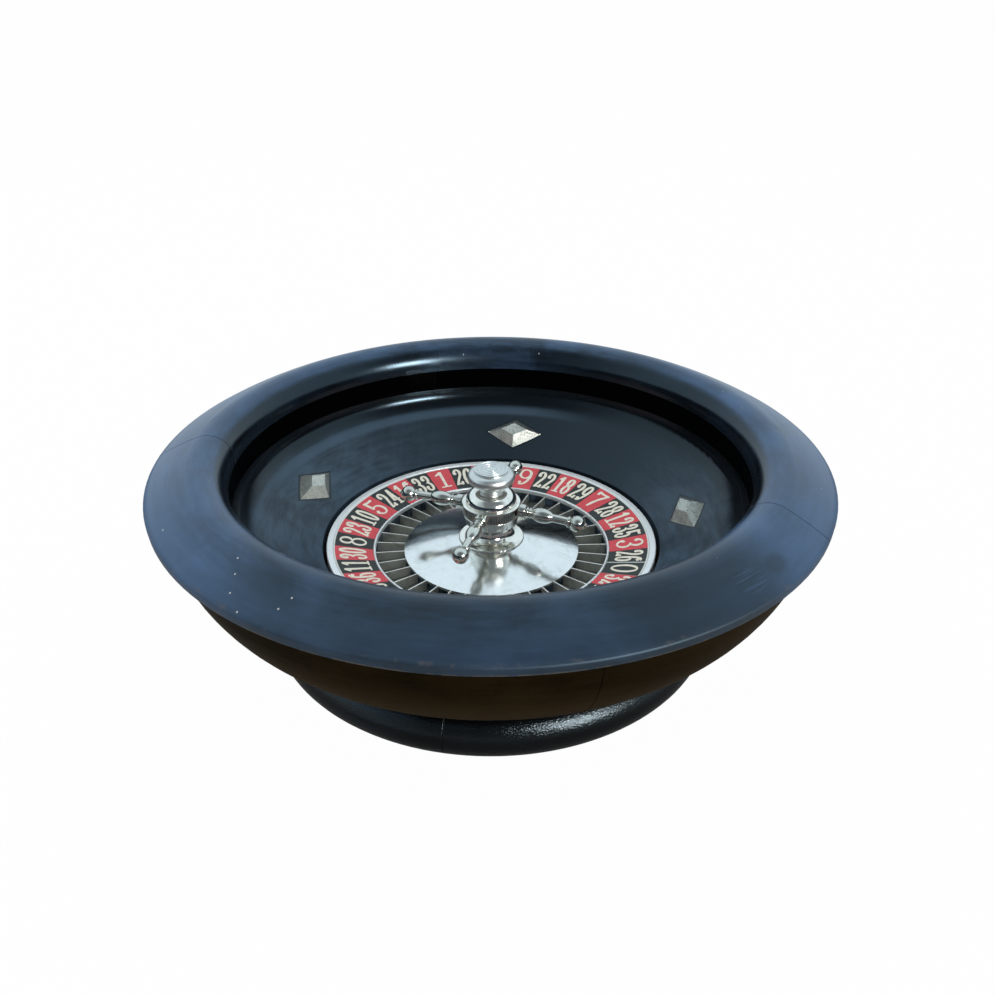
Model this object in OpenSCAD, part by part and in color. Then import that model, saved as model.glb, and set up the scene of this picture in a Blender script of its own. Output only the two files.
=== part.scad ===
// Small roulette wheel: a turned wooden bowl on a round foot, with a ball track,
// four metal deflectors and a nickel and enamel rotor that turns on a steel spindle.
// Millimetres. The origin is at the middle of the foot's underside and +Z is up.

/* [Rim] */
// Outside diameter across the rim's edge
rim_d = 305; // [290:1:330]
// Height of the rim from its joint to the top of its lip
rim_h = 13.9; // [12.6:0.1:18]
// Radius of the rounded lip
lip_r = 11.6; // [10:0.1:12.4]
// Slope at which the lip runs into the outer slope, in degrees
lip_slope = 21.7; // [15:0.1:26]
// Radius of the slightly convex outer slope
rim_crown_r = 120; // [90:1:200]
// Radius that eases the rim's outer corner
rim_corner_r = 1.2; // [0.5:0.1:2]
// How far the edge band leans in at its bottom
edge_draft = 0.3; // [0:0.1:1]
// Direction of the rim's right joint, in degrees from +X
rim_seam_a = 331.5; // [300:0.5:350]
// Angle that the rim's front segment covers
rim_front_span = 152; // [120:1:180]

/* [Body ring] */
// Height of the body ring
body_h = 39.9; // [36:0.1:46]
// How far the rim stands out over the top of the body
rim_overhang = 6.5; // [4:0.1:9]
// Width of the body's lower edge, from the wall outwards
body_low_w = 10.6; // [8:0.1:14]
// Radius of the body's bulge
body_bulge_r = 58.8; // [50:0.1:90]
// Direction of the body ring's front joint
body_seam_a = 285.7; // [240:0.1:300]

/* [Ball track] */
// Gap between the rotor and the track
track_gap = 1.7; // [1:0.1:3]
// Width of the track, from its inner edge to the wall
track_w = 37.8; // [34:0.1:42]
// Height of the track's inner edge above the foot's top
track_edge_h = 2.4; // [1.6:0.1:4]
// Slope of the track in degrees
track_slope = 31.5; // [28:0.1:33]
// Radius of the cove between track and wall
cove_r = 6; // [4:0.1:8]
// Width of the shoulder that the body ring rests on
shoulder_w = 3.4; // [3:0.1:4.5]
// Depth of the spigot that the track board has in the foot
spigot_h = 6; // [4:0.1:8]
// Wall of that spigot
spigot_wall = 4; // [3:0.1:5]

/* [Deflectors] */
// Length across the track's slope
deflector_l = 32; // [26:0.5:36]
// Width up the track's slope
deflector_w = 18; // [14:0.5:20]
// Height above the track
deflector_h = 4.8; // [3.5:0.1:6]
// Size of the flat top as a share of the base
deflector_top = 0.43; // [0.3:0.01:0.6]
// Distance of the middles from the track's inner edge
deflector_in = 14.2; // [12.5:0.1:17]
// Direction of the right deflector
deflector_a1 = 3.5; // [-10:0.5:15]
// Direction of the back deflector
deflector_a2 = 82.5; // [70:0.5:95]
// Direction of the left deflector
deflector_a3 = 160.5; // [150:0.5:175]
// Direction of the front deflector
deflector_a4 = 262; // [250:0.5:280]
// Diameter of a deflector's pin
pin_d = 3; // [2:0.1:4]
// Length of a deflector's pin below the track
pin_l = 7; // [5:0.5:8]

/* [Foot] */
// Height of the foot, up to the body's lower edge
foot_h = 44.4; // [42:0.1:50]
// Radius of the foot's round bead
bead_r = 11.5; // [10.5:0.1:13]
// How far the bead's middle stands out from the neck
bead_out = 4.5; // [3:0.1:7]
// Height of the bead's middle above the table
bead_mid_h = 10.5; // [9:0.1:11]
// Wall of the neck between foot and body
neck_wall = 10.2; // [9:0.1:12]
// Radius of the cove under the body
neck_cove_r = 6; // [4:0.1:8]
// Width of the ledge that carries the floor board
ledge_w = 8.8; // [7.5:0.1:12]
// Direction of the foot's front joint
foot_seam_a = 259.4; // [240:0.1:300]

/* [Floor and spindle] */
// Thickness of the floor board
floor_t = 10; // [8:0.1:12]
// Diameter of the spindle
spindle_d = 8; // [6.5:0.1:8.4]
// How far the spindle's domed end reaches into the drum
spindle_in = 3.1; // [2:0.1:4]
// Diameter of the spindle's flange
flange_d = 42; // [36:0.5:48]
// Thickness of that flange
flange_t = 3; // [2.5:0.1:3.5]
// Width of the spindle's nut across its flats
nut_af = 13; // [12:0.5:15]
// Height of the nut
nut_h = 5.5; // [4:0.1:6]
// Diameter of the washer
washer_d = 24; // [18:0.5:28]
// Thickness of the washer
washer_t = 1.6; // [1:0.1:2]

/* [Rotor] */
// Outside diameter of the rotor's outer ring
rotor_d = 156.2; // [150:0.2:162]
// Height of the rotor, from its underside to the outer ring's top
rotor_h = 17; // [15:0.1:18.5]
// How far the outer ring's top lies below the track's edge
rotor_drop = 0.8; // [0.3:0.1:1.5]
// Gap between the rotor's underside and the spindle's flange
rotor_lift = 2; // [1:0.1:3]
// How far the rotor's side tapers in towards its underside
rotor_taper = 10.1; // [6:0.1:14]
// Width of the outer ring
outer_ring_w = 3.15; // [2.5:0.05:4]
// Depth of the outer ring's band
outer_ring_t = 9; // [7:0.1:10]
// Slope of the number ring in degrees
number_slope = 11.6; // [9:0.1:13]
// Width of the number ring
number_w = 18.5; // [16:0.1:20]
// Thickness of the number ring
number_t = 1.2; // [0.8:0.05:1.6]
// Width of the fine inner ring
inner_ring_w = 1.2; // [0.9:0.05:1.6]
// Number of pockets
pockets = 37; // [37:1:38]
// Direction of the middle of the pocket of number 0
zero_a = 337.2; // [0:0.1:360]
// Width of the pockets, from the cone's edge to the inner ring
pocket_w = 13.55; // [11:0.05:15]
// Depth of the pockets
pocket_depth = 4.6; // [4:0.1:5.2]
// Thickness of the pockets' dark floor
pocket_floor_t = 0.8; // [0.5:0.05:1]
// Thickness of a fret between two pockets
fret_t = 0.6; // [0.4:0.05:1]
// Drop from the inner ring's top to the frets' tops
fret_drop = 2; // [1.5:0.1:2.6]

/* [Cone] */
// Slope of the cone in degrees
cone_slope = 11.4; // [9:0.1:12.4]
// Thickness of the cone's metal
cone_t = 1.2; // [0.8:0.05:1.5]
// How far the cone's edge lies below the frets' tops
cone_sink = 0.15; // [0:0.05:0.5]

/* [Turret] */
// Diameter of the turret's round flange
base_d = 31; // [28:0.1:34]
// Thickness of that flange
base_t = 1; // [0.8:0.05:1.4]
// Diameter of the turret's neck
base_neck_d = 16; // [15:0.1:18]
// Radius of the hollow flare between flange and neck
flare_r = 4.4; // [3.5:0.1:5.2]
// Height from the cone's top to the drum's underside
turret_neck_h = 9; // [8:0.1:10.5]
// Height of the drum
drum_h = 10.6; // [9.8:0.1:12]
// Diameter of the drum's lower edge
drum_low_d = 24.4; // [23:0.1:26.4]
// Diameter of the drum's straight part
drum_d = 26.6; // [26.4:0.1:28]
// Height of the groove round the drum above its underside
drum_groove_h = 4.9; // [3.5:0.1:5.4]
// Depth of that groove
drum_groove = 0.4; // [0.2:0.05:0.7]
// How far the drum's rim stands out
drum_rim_out = 0.5; // [0.2:0.05:0.8]
// Width of the drum's flat rim round the cap
drum_rim_w = 1.7; // [1.4:0.1:3]
// Height of the cap above the drum
cap_h = 5.9; // [5.2:0.1:7]
// Height of the cap's upright step, below its dome
cap_step_h = 0.4; // [0.2:0.1:1.5]
// Diameter of the cap's top
cap_top_d = 13.6; // [12:0.1:15]
// Height from the cap to the knob's widest part
knob_mid_h = 7; // [6:0.1:8]
// Diameter of the knob
knob_d = 22.4; // [20:0.1:24]
// Radius of the knob's rounded edge
knob_edge_r = 3; // [2.4:0.1:3.4]
// Height of the knob's top above its widest part
knob_top_h = 4; // [3.5:0.1:5]
// Diameter of the knob's flat top
knob_top_d = 15.7; // [13:0.1:16.5]
// Diameter of the knob's neck
knob_neck_d = 10; // [8:0.1:10.4]

/* [Handles] */
// Distance of the handles' axis below the drum's top
handle_drop = 2.6; // [2.4:0.1:4]
// Direction of the right handle
handle_a1 = 341.5; // [330:0.5:360]
// Direction of the back handle
handle_a2 = 73.5; // [60:0.5:90]
// Direction of the left handle
handle_a3 = 161.5; // [150:0.5:180]
// Direction of the front handle
handle_a4 = 251.5; // [240:0.5:270]
// Droop of the right handle in degrees
handle_droop1 = 4.2; // [0:0.1:6]
// Droop of the back handle in degrees
handle_droop2 = 1.6; // [0:0.1:6]
// Droop of the left handle in degrees
handle_droop3 = 1.4; // [0:0.1:6]
// Droop of the front handle in degrees
handle_droop4 = 5.6; // [0:0.1:6]
// Length of a handle outside the drum
handle_l = 32.3; // [28:0.1:36]
// Diameter of the collar at a handle's root
collar_d = 6.6; // [5.6:0.1:7.2]
// Length of that collar
collar_l = 3.2; // [2.4:0.1:4]
// Diameter of the two beads after the collar
bead_d = 5; // [4.4:0.1:5.6]
// Length of each bead
bead_l = 1.5; // [1:0.1:2]
// Diameter of the long bulge
bulge_d = 7; // [6:0.1:8]
// Length of that bulge
bulge_l = 10; // [8:0.1:12]
// Diameter of the thin part
thin_d = 3.8; // [3:0.1:4.4]
// Diameter of the ball end
ball_d = 7.6; // [6.6:0.1:8.4]
// Diameter of the threaded end in the drum
tenon_d = 2.4; // [2:0.1:2.8]
// Length of that end
tenon_l = 4.6; // [4:0.1:5]

/* [Screws] */
// Diameter of the floor board's screws
board_screw_d = 3.5; // [3:0.1:4]
// Length of the floor board's screws
board_screw_l = 20; // [16:0.5:22]
// Number of the floor board's screws
board_screws_n = 6; // [4:1:8]
// Diameter of the screws in the two metal flanges
flange_screw_d = 3; // [2.5:0.1:3.4]
// Length of the screws in the two metal flanges
flange_screw_l = 9; // [7:0.5:9.5]
// Distance of the flange screws from the flange's edge
flange_screw_in = 5; // [4.5:0.1:7]
// Height and overhang of a countersunk head
screw_head = 2; // [1.6:0.1:2.2]

/* [Bush] */
// Wall of the bush round the spindle
bush_wall = 3.5; // [2.5:0.1:4.5]
// Diameter of the bush's flange
bush_flange_d = 38; // [34:0.5:44]
// Thickness of that flange
bush_flange_t = 2.5; // [2.2:0.1:3]
// Depth of the bush's top below the cone
bush_drop = 5; // [4:0.1:7]
// Thickness of the thrust plug
plug_t = 2.4; // [1.6:0.1:2.8]

/* [Clearances] */
// Gap between turned parts that are glued or pushed together
glue_gap = 0.1; // [0.05:0.01:0.2]
// Gap at the joints between two segments of one ring
seam_gap = 0.15; // [0.1:0.01:0.3]
// Radial clearance between the spindle and its bush
run_gap = 0.05; // [0.02:0.01:0.1]
// Gap between the spindle's end and the thrust plug
thrust_gap = 0.3; // [0.2:0.05:0.5]
// Small overlap that makes one solid of neighbouring shapes
join = 1; // [0.5:0.1:1.5]
// Small rounding of metal edges
edge_round = 0.5; // [0.3:0.05:0.6]

/* [Hidden] */
rim_r = rim_d / 2;
rotor_r = rotor_d / 2;
track_r = rotor_r + track_gap;
wall_r = track_r + track_w;
rim_joint_h = foot_h + body_h;
rim_crest_h = rim_joint_h + rim_h;
lip_at = [wall_r + lip_r, rim_crest_h - lip_r];
crown_at = lip_at - (rim_crown_r - lip_r) * [sin(lip_slope), cos(lip_slope)];
crown_end_a = asin((rim_r - rim_corner_r - crown_at.x) / (rim_crown_r - rim_corner_r));
crown_start = crown_at + rim_crown_r * [sin(lip_slope), cos(lip_slope)];
crown_cut = crown_at + rim_crown_r * [sin(crown_end_a), cos(crown_end_a)];
corner_at = crown_cut - rim_corner_r * [sin(crown_end_a), cos(crown_end_a)];
corner_steps = 6;
corner_arc = [for (i = [0 : corner_steps])
    let (a = crown_end_a + (90 - crown_end_a) * i / corner_steps)
        corner_at + rim_corner_r * [sin(a), cos(a)]];

body_top = [rim_r - rim_overhang, rim_joint_h];
body_low = [wall_r + body_low_w, foot_h];
body_chord = body_top - body_low;
body_chord_half = norm(body_chord) / 2;
body_inward = [-body_chord.y, body_chord.x] / norm(body_chord);
bulge_at = (body_top + body_low) / 2
    + sqrt(body_bulge_r * body_bulge_r - body_chord_half * body_chord_half) * body_inward;

track_in_h = foot_h + track_edge_h;
cove_at_r = wall_r - cove_r;
cove_at_h = track_in_h + (cove_at_r - track_r) * tan(track_slope) + cove_r / cos(track_slope);
cove_foot = [cove_at_r + cove_r * sin(track_slope), cove_at_h - cove_r * cos(track_slope)];
board_r = wall_r + shoulder_w;
spigot_r = track_r + spigot_wall;
spigot_low_h = foot_h - spigot_h;
deflector_at = track_r + deflector_in;

outer_ring_h = track_in_h - rotor_drop;
rotor_low_h = outer_ring_h - rotor_h;
floor_top_h = rotor_low_h - rotor_lift - flange_t;
floor_low_h = floor_top_h - floor_t;
neck_r = track_r + neck_wall;
bead_at = [neck_r + bead_out, bead_mid_h];
ledge_r = track_r - ledge_w;
board_screw_r = (ledge_r + track_r) / 2;
board_screw_a = 15;
flange_screw_r = flange_d / 2 - flange_screw_in;
flange_screws_n = 4;

ring_in_r = rotor_r - outer_ring_w;
ring_proud = 0.3;
number_out_h = outer_ring_h - ring_proud;
inner_ring_r = ring_in_r - number_w;
number_in_h = number_out_h - number_w * tan(number_slope);
inner_ring_h = number_in_h + ring_proud;
inner_bore_r = inner_ring_r - inner_ring_w;
fret_top_h = inner_ring_h - fret_drop;
pocket_low_h = fret_top_h - pocket_depth;
pocket_bed_h = pocket_low_h - pocket_floor_t;
cone_r = inner_bore_r - pocket_w;
cone_low_h = fret_top_h - cone_sink;
fret_in_r = cone_r + glue_gap;
fret_out_r = inner_bore_r - glue_gap;
pocket_pitch = 360 / pockets;
base_r = base_d / 2;
cone_top_h = cone_low_h + (cone_r - base_r) * tan(cone_slope);
disc_side_h = outer_ring_h - outer_ring_t;

drum_low_h = cone_top_h + turret_neck_h;
drum_top_h = drum_low_h + drum_h;
groove_h = drum_low_h + drum_groove_h;
cap_top_h = drum_top_h + cap_h;
knob_h = cap_top_h + knob_mid_h;
spindle_r = spindle_d / 2;
spindle_top_h = drum_low_h + spindle_in;
spindle_low_h = floor_low_h - washer_t - nut_h - 2 * join;
bush_bore_r = spindle_r + run_gap;
bush_r = spindle_r + bush_wall;
bush_flange_r = bush_flange_d / 2;
bush_top_h = cone_top_h - bush_drop;
bush_screw_r = bush_flange_r - flange_screw_in + join;
bush_screw_a = 30;
bush_screws_n = 3;
turret_spigot_r = base_neck_d / 2 - 2 * join;
turret_bore_r = spindle_r + edge_round;
drum_spigot_h = 2 * join;
plug_r = spindle_r + edge_round + glue_gap;
plug_low_h = spindle_top_h + thrust_gap;
drum_r = drum_d / 2;
drum_rim_r = drum_r + drum_rim_out;
cap_r = drum_rim_r - drum_rim_w;
cap_seat_h = drum_top_h - edge_round;
cap_spigot_r = 3 * join;
cap_spigot_h = 2.4 * join;
knob_spigot_r = 2.4 * join;
knob_spigot_h = 4 * join;
knob_r = knob_d / 2;
handle_h = drum_top_h - handle_drop;
handle_root_r = drum_rim_r + glue_gap;
handle_ways = [handle_a1, handle_a2, handle_a3, handle_a4];
handle_droops = [handle_droop1, handle_droop2, handle_droop3, handle_droop4];
tenon_from = drum_r - tenon_l - handle_root_r;
$fn = 96;

// A ring segment turned from a profile, with half a joint's gap left at each end
module segment(from, span, mid_r) {
    trim = asin(seam_gap / 2 / mid_r);
    rotate([0, 0, from + trim]) rotate_extrude(angle = span - 2 * trim, $fn = 240) children();
}

// A countersunk screw standing on its point side, its head's top at the origin
module screw(d, l, head) {
    rotate_extrude($fn = 32)
        polygon([[0, 0], [d / 2 + head, 0], [d / 2, -head], [d / 2, 1 - l], [d / 4, -l], [0, -l]]);
}

// The hole and countersink that take such a screw
module screw_hole(d, l, head, play) {
    translate([0, 0, -l - play]) cylinder(r = d / 2 + play, h = l + play + 1, $fn = 32);
    translate([0, 0, -head - play / 2])
        cylinder(r1 = d / 2 + play, r2 = d / 2 + head + 2 * play + 0.5, h = head + 0.5 + play, $fn = 32);
}

module around(count, radius, first = 0) {
    for (i = [0 : count - 1])
        rotate([0, 0, first + i * 360 / count]) translate([radius, 0, 0]) children();
}

module rim_profile() {
    intersection() {
        union() {
            translate(lip_at) circle(r = lip_r, $fn = 96);
            translate([wall_r - 1, rim_joint_h - 1]) square([lip_r, lip_at.y - rim_joint_h + 1]);
            intersection() {
                translate(crown_at) circle(r = rim_crown_r, $fn = 720);
                polygon([[lip_at.x - lip_r / 2, rim_joint_h - 1], lip_at, crown_start,
                    crown_start + [0, lip_r], [rim_r + 1, rim_crest_h], [rim_r + 1, rim_joint_h - 1]]);
            }
        }
        polygon(concat([[wall_r, rim_joint_h], [wall_r, rim_crest_h + 1],
            [crown_cut.x, rim_crest_h + 1]], corner_arc, [[rim_r - edge_draft, rim_joint_h]]));
    }
}

module rim_front() {
    color("#3c4a5c") segment(rim_seam_a - rim_front_span, rim_front_span, wall_r) rim_profile();
}

module rim_back() {
    color("#3c4a5c") segment(rim_seam_a, 360 - rim_front_span, wall_r) rim_profile();
}

// The bulging ring that rests on the track board's shoulder and carries the rim
module body_profile() {
    intersection() {
        difference() {
            translate([wall_r, foot_h])
                square([rim_r - wall_r, rim_joint_h - foot_h]);
            translate([wall_r - 1, foot_h - 1])
                square([shoulder_w + glue_gap + 1, cove_at_h - foot_h + 1]);
        }
        union() {
            translate(bulge_at) circle(r = body_bulge_r, $fn = 480);
            polygon([[wall_r, foot_h], body_low, body_top, [wall_r, rim_joint_h]]);
        }
    }
}

module body_ring_right() {
    color("#2b2a22") segment(body_seam_a, 180, wall_r) body_profile();
}

module body_ring_left() {
    color("#2b2a22") segment(body_seam_a - 180, 180, wall_r) body_profile();
}

module track_profile() {
    difference() {
        polygon([[track_r, spigot_low_h], [spigot_r, spigot_low_h], [spigot_r, foot_h],
            [board_r, foot_h], [board_r, cove_at_h], [cove_at_r, cove_at_h],
            cove_foot, [track_r, track_in_h]]);
        translate([cove_at_r, cove_at_h]) circle(r = cove_r, $fn = 120);
    }
}

// Places a piece on the track, with its own Z square to the slope
module on_track(angle) {
    at_h = track_in_h + deflector_in * tan(track_slope);
    rotate([0, 0, angle]) translate([deflector_at, 0, at_h]) rotate([0, -track_slope, 0]) children();
}

module apron() {
    color("#3c4b58") difference() {
        rotate_extrude($fn = 240) track_profile();
        for (a = [deflector_a1, deflector_a2, deflector_a3, deflector_a4])
            on_track(a) translate([0, 0, -pin_l - glue_gap])
                cylinder(d = pin_d + 2 * glue_gap, h = pin_l + 3, $fn = 32);
    }
}

// A flattened lozenge pyramid with its underside cut to the track, and its pin
module deflector(angle) {
    below = 2;
    grow = 1 + below * (1 - deflector_top) / deflector_h;
    color("#9aa39c") difference() {
        union() {
            on_track(angle) translate([0, 0, -below])
                linear_extrude(height = deflector_h + below, scale = deflector_top / grow)
                    scale([deflector_w * grow, deflector_l * grow])
                        polygon([[0.5, 0], [0, 0.5], [-0.5, 0], [0, -0.5]]);
        }
        translate([0, 0, glue_gap / 2]) rotate_extrude($fn = 240)
            polygon([[track_r - 9, spigot_low_h], [board_r, spigot_low_h],
                [board_r, track_in_h + (board_r - track_r) * tan(track_slope)],
                [track_r - 9, track_in_h - 9 * tan(track_slope)]]);
    }
    color("#9aa39c") on_track(angle) translate([0, 0, -pin_l])
        cylinder(d = pin_d, h = pin_l + deflector_h / 2, $fn = 32);
}

module deflector_right() {
    deflector(deflector_a1);
}

module deflector_back() {
    deflector(deflector_a2);
}

module deflector_left() {
    deflector(deflector_a3);
}

module deflector_front() {
    deflector(deflector_a4);
}

// The foot's bead and neck, with the ledge for the floor board inside
module foot_profile() {
    difference() {
        union() {
            translate(bead_at) circle(r = bead_r, $fn = 120);
            translate([ledge_r, 0]) square([bead_at.x - ledge_r, bead_mid_h]);
            translate([ledge_r, 0]) square([neck_r - ledge_r, foot_h]);
            translate([neck_r - 1, foot_h - neck_cove_r]) square([neck_cove_r + 1, neck_cove_r]);
        }
        translate([0, -2 * bead_r]) square([rim_r, 2 * bead_r]);
        translate([neck_r + neck_cove_r, foot_h - neck_cove_r])
            circle(r = neck_cove_r, $fn = 96);
        translate([0, floor_low_h]) square([track_r, foot_h]);
        translate([0, spigot_low_h - glue_gap])
            square([spigot_r + glue_gap, foot_h]);
    }
}

module board_screw_holes() {
    translate([0, 0, floor_top_h]) around(board_screws_n, board_screw_r, board_screw_a)
        screw_hole(board_screw_d, board_screw_l, screw_head, glue_gap);
}

module foot_half(from) {
    color("#15171b") difference() {
        segment(from, 180, ledge_r) foot_profile();
        board_screw_holes();
    }
}

module foot_ring_right() {
    foot_half(foot_seam_a);
}

module foot_ring_left() {
    foot_half(foot_seam_a - 180);
}

module flange_screw_holes() {
    translate([0, 0, floor_top_h + flange_t]) around(flange_screws_n, flange_screw_r, 45)
        screw_hole(flange_screw_d, flange_screw_l, screw_head, glue_gap);
}

module floor_board() {
    color("#4a3524") difference() {
        translate([0, 0, floor_low_h]) cylinder(r = track_r - glue_gap, h = floor_t, $fn = 240);
        translate([0, 0, floor_low_h - 1]) cylinder(r = spindle_r + glue_gap, h = floor_t + 2);
        board_screw_holes();
        flange_screw_holes();
    }
}

module board_screws() {
    color("#b5a15c") translate([0, 0, floor_top_h])
        around(board_screws_n, board_screw_r, board_screw_a) screw(board_screw_d, board_screw_l, screw_head);
}

module spindle() {
    color("#a9adb2") rotate_extrude($fn = 64) intersection() {
        union() {
            translate([0, spindle_top_h - spindle_d]) circle(r = spindle_d, $fn = 96);
            translate([0, spindle_low_h])
                square([spindle_r, spindle_top_h - spindle_d - spindle_low_h]);
        }
        polygon([[0, spindle_low_h], [spindle_r - 0.6, spindle_low_h],
            [spindle_r, spindle_low_h + 0.6], [spindle_r, spindle_top_h], [0, spindle_top_h]]);
    }
}

module spindle_flange() {
    color("#a9adb2") difference() {
        translate([0, 0, floor_top_h]) cylinder(d = flange_d, h = flange_t);
        translate([0, 0, floor_top_h - 1]) cylinder(r = spindle_r + run_gap / 2, h = flange_t + 2);
        flange_screw_holes();
    }
}

module flange_screws() {
    color("#b5a15c") translate([0, 0, floor_top_h + flange_t])
        around(flange_screws_n, flange_screw_r, 45) screw(flange_screw_d, flange_screw_l, screw_head);
}

module spindle_washer() {
    color("#a9adb2") translate([0, 0, floor_low_h - washer_t]) difference() {
        cylinder(d = washer_d, h = washer_t);
        translate([0, 0, -1]) cylinder(r = spindle_r + glue_gap, h = washer_t + 2);
    }
}

module spindle_nut() {
    color("#8d9196") translate([0, 0, floor_low_h - washer_t - nut_h]) difference() {
        intersection() {
            cylinder(d = nut_af / cos(30), h = nut_h, $fn = 6);
            rotate_extrude() polygon([[0, 0], [nut_af / 2, 0], [nut_af / 2 + 1.6, 0.9],
                [nut_af / 2 + 1.6, nut_h - 0.9], [nut_af / 2, nut_h], [0, nut_h]]);
        }
        translate([0, 0, -1]) cylinder(r = spindle_r + run_gap / 2, h = nut_h + 2);
    }
}

module bush_screw_holes() {
    translate([0, 0, rotor_low_h]) mirror([0, 0, 1]) around(bush_screws_n, bush_screw_r, bush_screw_a)
        screw_hole(flange_screw_d, flange_screw_l - join, screw_head, glue_gap);
}

// Height of the number ring's face at a distance from the axis
function number_face(r) = number_in_h + (r - inner_ring_r) * tan(number_slope);

// The turned disc that carries every ring of the rotor
module rotor_disc() {
    seat_r = ring_in_r - glue_gap;
    number_seat = number_t + run_gap;
    cone_seat = cone_t + run_gap;
    color("#2a211b") difference() {
        rotate_extrude($fn = 240) difference() {
            polygon([[bush_r + glue_gap, rotor_low_h], [rotor_r - rotor_taper, rotor_low_h],
                [rotor_r, disc_side_h], [seat_r, disc_side_h],
                [seat_r, number_face(seat_r) - number_seat],
                [inner_ring_r, number_in_h - number_seat],
                [inner_ring_r, fret_top_h - glue_gap], [inner_bore_r, fret_top_h - glue_gap],
                [inner_bore_r, pocket_bed_h], [cone_r, pocket_bed_h],
                [cone_r, cone_low_h - cone_seat], [base_r, cone_top_h - cone_seat],
                [turret_spigot_r, cone_top_h - cone_seat],
                [turret_spigot_r, bush_top_h], [bush_r + glue_gap, bush_top_h]]);
            square([bush_flange_r + glue_gap, rotor_low_h + bush_flange_t]);
        }
        bush_screw_holes();
    }
}

module outer_ring() {
    color("#d9dadb") rotate_extrude($fn = 240) {
        translate([ring_in_r, disc_side_h])
            square([outer_ring_w, outer_ring_t - edge_round]);
        translate([ring_in_r + edge_round, outer_ring_h - 2 * edge_round])
            square([outer_ring_w - 2 * edge_round, 2 * edge_round]);
        for (r = [ring_in_r + edge_round, rotor_r - edge_round])
            translate([r, outer_ring_h - edge_round]) circle(r = edge_round, $fn = 32);
    }
}

module number_ring() {
    in_r = inner_ring_r + run_gap;
    out_r = ring_in_r - run_gap;
    color("#1a1718") rotate_extrude($fn = 240)
        polygon([[in_r, number_face(in_r)], [in_r, number_face(in_r) - number_t],
            [out_r, number_face(out_r) - number_t], [out_r, number_face(out_r)]]);
}

module inner_ring() {
    low_h = fret_top_h - glue_gap;
    color("#d9dadb") rotate_extrude($fn = 240) {
        translate([inner_bore_r, low_h])
            square([inner_ring_w, inner_ring_h - low_h - inner_ring_w / 2]);
        translate([inner_ring_r - inner_ring_w / 2, inner_ring_h - inner_ring_w / 2])
            circle(r = inner_ring_w / 2, $fn = 32);
    }
}

module pocket_floor() {
    color("#17120f") rotate_extrude($fn = 240)
        translate([fret_in_r, pocket_bed_h]) square([fret_out_r - fret_in_r, pocket_floor_t]);
}

// Thin plates that stand on the pockets' floor, one between each two pockets
module frets() {
    color("#cfd2d3") for (i = [0 : pockets - 1])
        rotate([0, 0, zero_a + (i + 0.5) * pocket_pitch])
            translate([fret_in_r, -fret_t / 2, pocket_low_h])
                cube([fret_out_r - fret_in_r, fret_t, fret_top_h - pocket_low_h]);
}

module cone() {
    color("#d5d9dc") rotate_extrude($fn = 240)
        polygon([[turret_spigot_r + glue_gap, cone_top_h - cone_t], [base_r, cone_top_h - cone_t],
            [cone_r, cone_low_h - cone_t], [cone_r, cone_low_h],
            [base_r, cone_top_h], [turret_spigot_r + glue_gap, cone_top_h]]);
}

module rotor_bush() {
    color("#b8924a") difference() {
        union() {
            translate([0, 0, rotor_low_h]) cylinder(r = bush_flange_r, h = bush_flange_t);
            translate([0, 0, rotor_low_h]) cylinder(r = bush_r, h = bush_top_h - rotor_low_h);
        }
        translate([0, 0, rotor_low_h - 1]) cylinder(r = bush_bore_r, h = bush_top_h);
        bush_screw_holes();
    }
}

module bush_screws() {
    color("#b5a15c") translate([0, 0, rotor_low_h]) mirror([0, 0, 1])
        around(bush_screws_n, bush_screw_r, bush_screw_a)
            screw(flange_screw_d, flange_screw_l - join, screw_head);
}

// The turret's flange, its hollow flare and the neck under the drum
module turret_base() {
    neck_r = base_neck_d / 2;
    flare_at = [neck_r + flare_r, cone_top_h + base_t + flare_r];
    color("#d9dadb") rotate_extrude($fn = 128) difference() {
        union() {
            translate([turret_bore_r, cone_top_h])
                square([base_r - base_t / 2 - turret_bore_r, base_t]);
            translate([base_r - base_t / 2, cone_top_h + base_t / 2]) circle(r = base_t / 2, $fn = 32);
            translate([turret_bore_r, cone_top_h])
                square([flare_at.x - turret_bore_r, flare_at.y - cone_top_h]);
            translate([turret_bore_r, cone_top_h])
                square([neck_r - turret_bore_r, drum_low_h - cone_top_h]);
            translate([turret_bore_r, bush_top_h])
                square([turret_spigot_r - glue_gap - turret_bore_r,
                    drum_low_h + drum_spigot_h - bush_top_h]);
        }
        translate(flare_at) circle(r = flare_r, $fn = 96);
    }
}

module drum_profile() {
    difference() {
        polygon([[0, drum_low_h], [drum_low_d / 2 - 0.4, drum_low_h],
            [drum_low_d / 2, drum_low_h + 0.4], [drum_r, groove_h],
            [drum_r, drum_top_h - edge_round], [drum_rim_r, drum_top_h - edge_round],
            [drum_rim_r, drum_top_h - 0.2], [drum_rim_r - 0.2, drum_top_h], [0, drum_top_h]]);
        translate([drum_r + drum_groove / 4, groove_h])
            circle(r = drum_groove, $fn = 24);
        translate([0, cap_seat_h]) square([cap_r + glue_gap, drum_top_h]);
        translate([0, drum_low_h - 1]) square([turret_spigot_r, drum_spigot_h + 1 + glue_gap]);
        translate([0, drum_low_h - 1]) square([plug_r, plug_low_h + plug_t - drum_low_h + 1]);
        translate([0, cap_seat_h - cap_spigot_h - glue_gap])
            square([cap_spigot_r + glue_gap, drum_top_h]);
    }
}

// Places a handle at its root, with its own Z along the handle's axis
module at_root(index) {
    rotate([0, 0, handle_ways[index]]) translate([handle_root_r, 0, handle_h])
        rotate([0, 90 + handle_droops[index], 0]) children();
}

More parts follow.
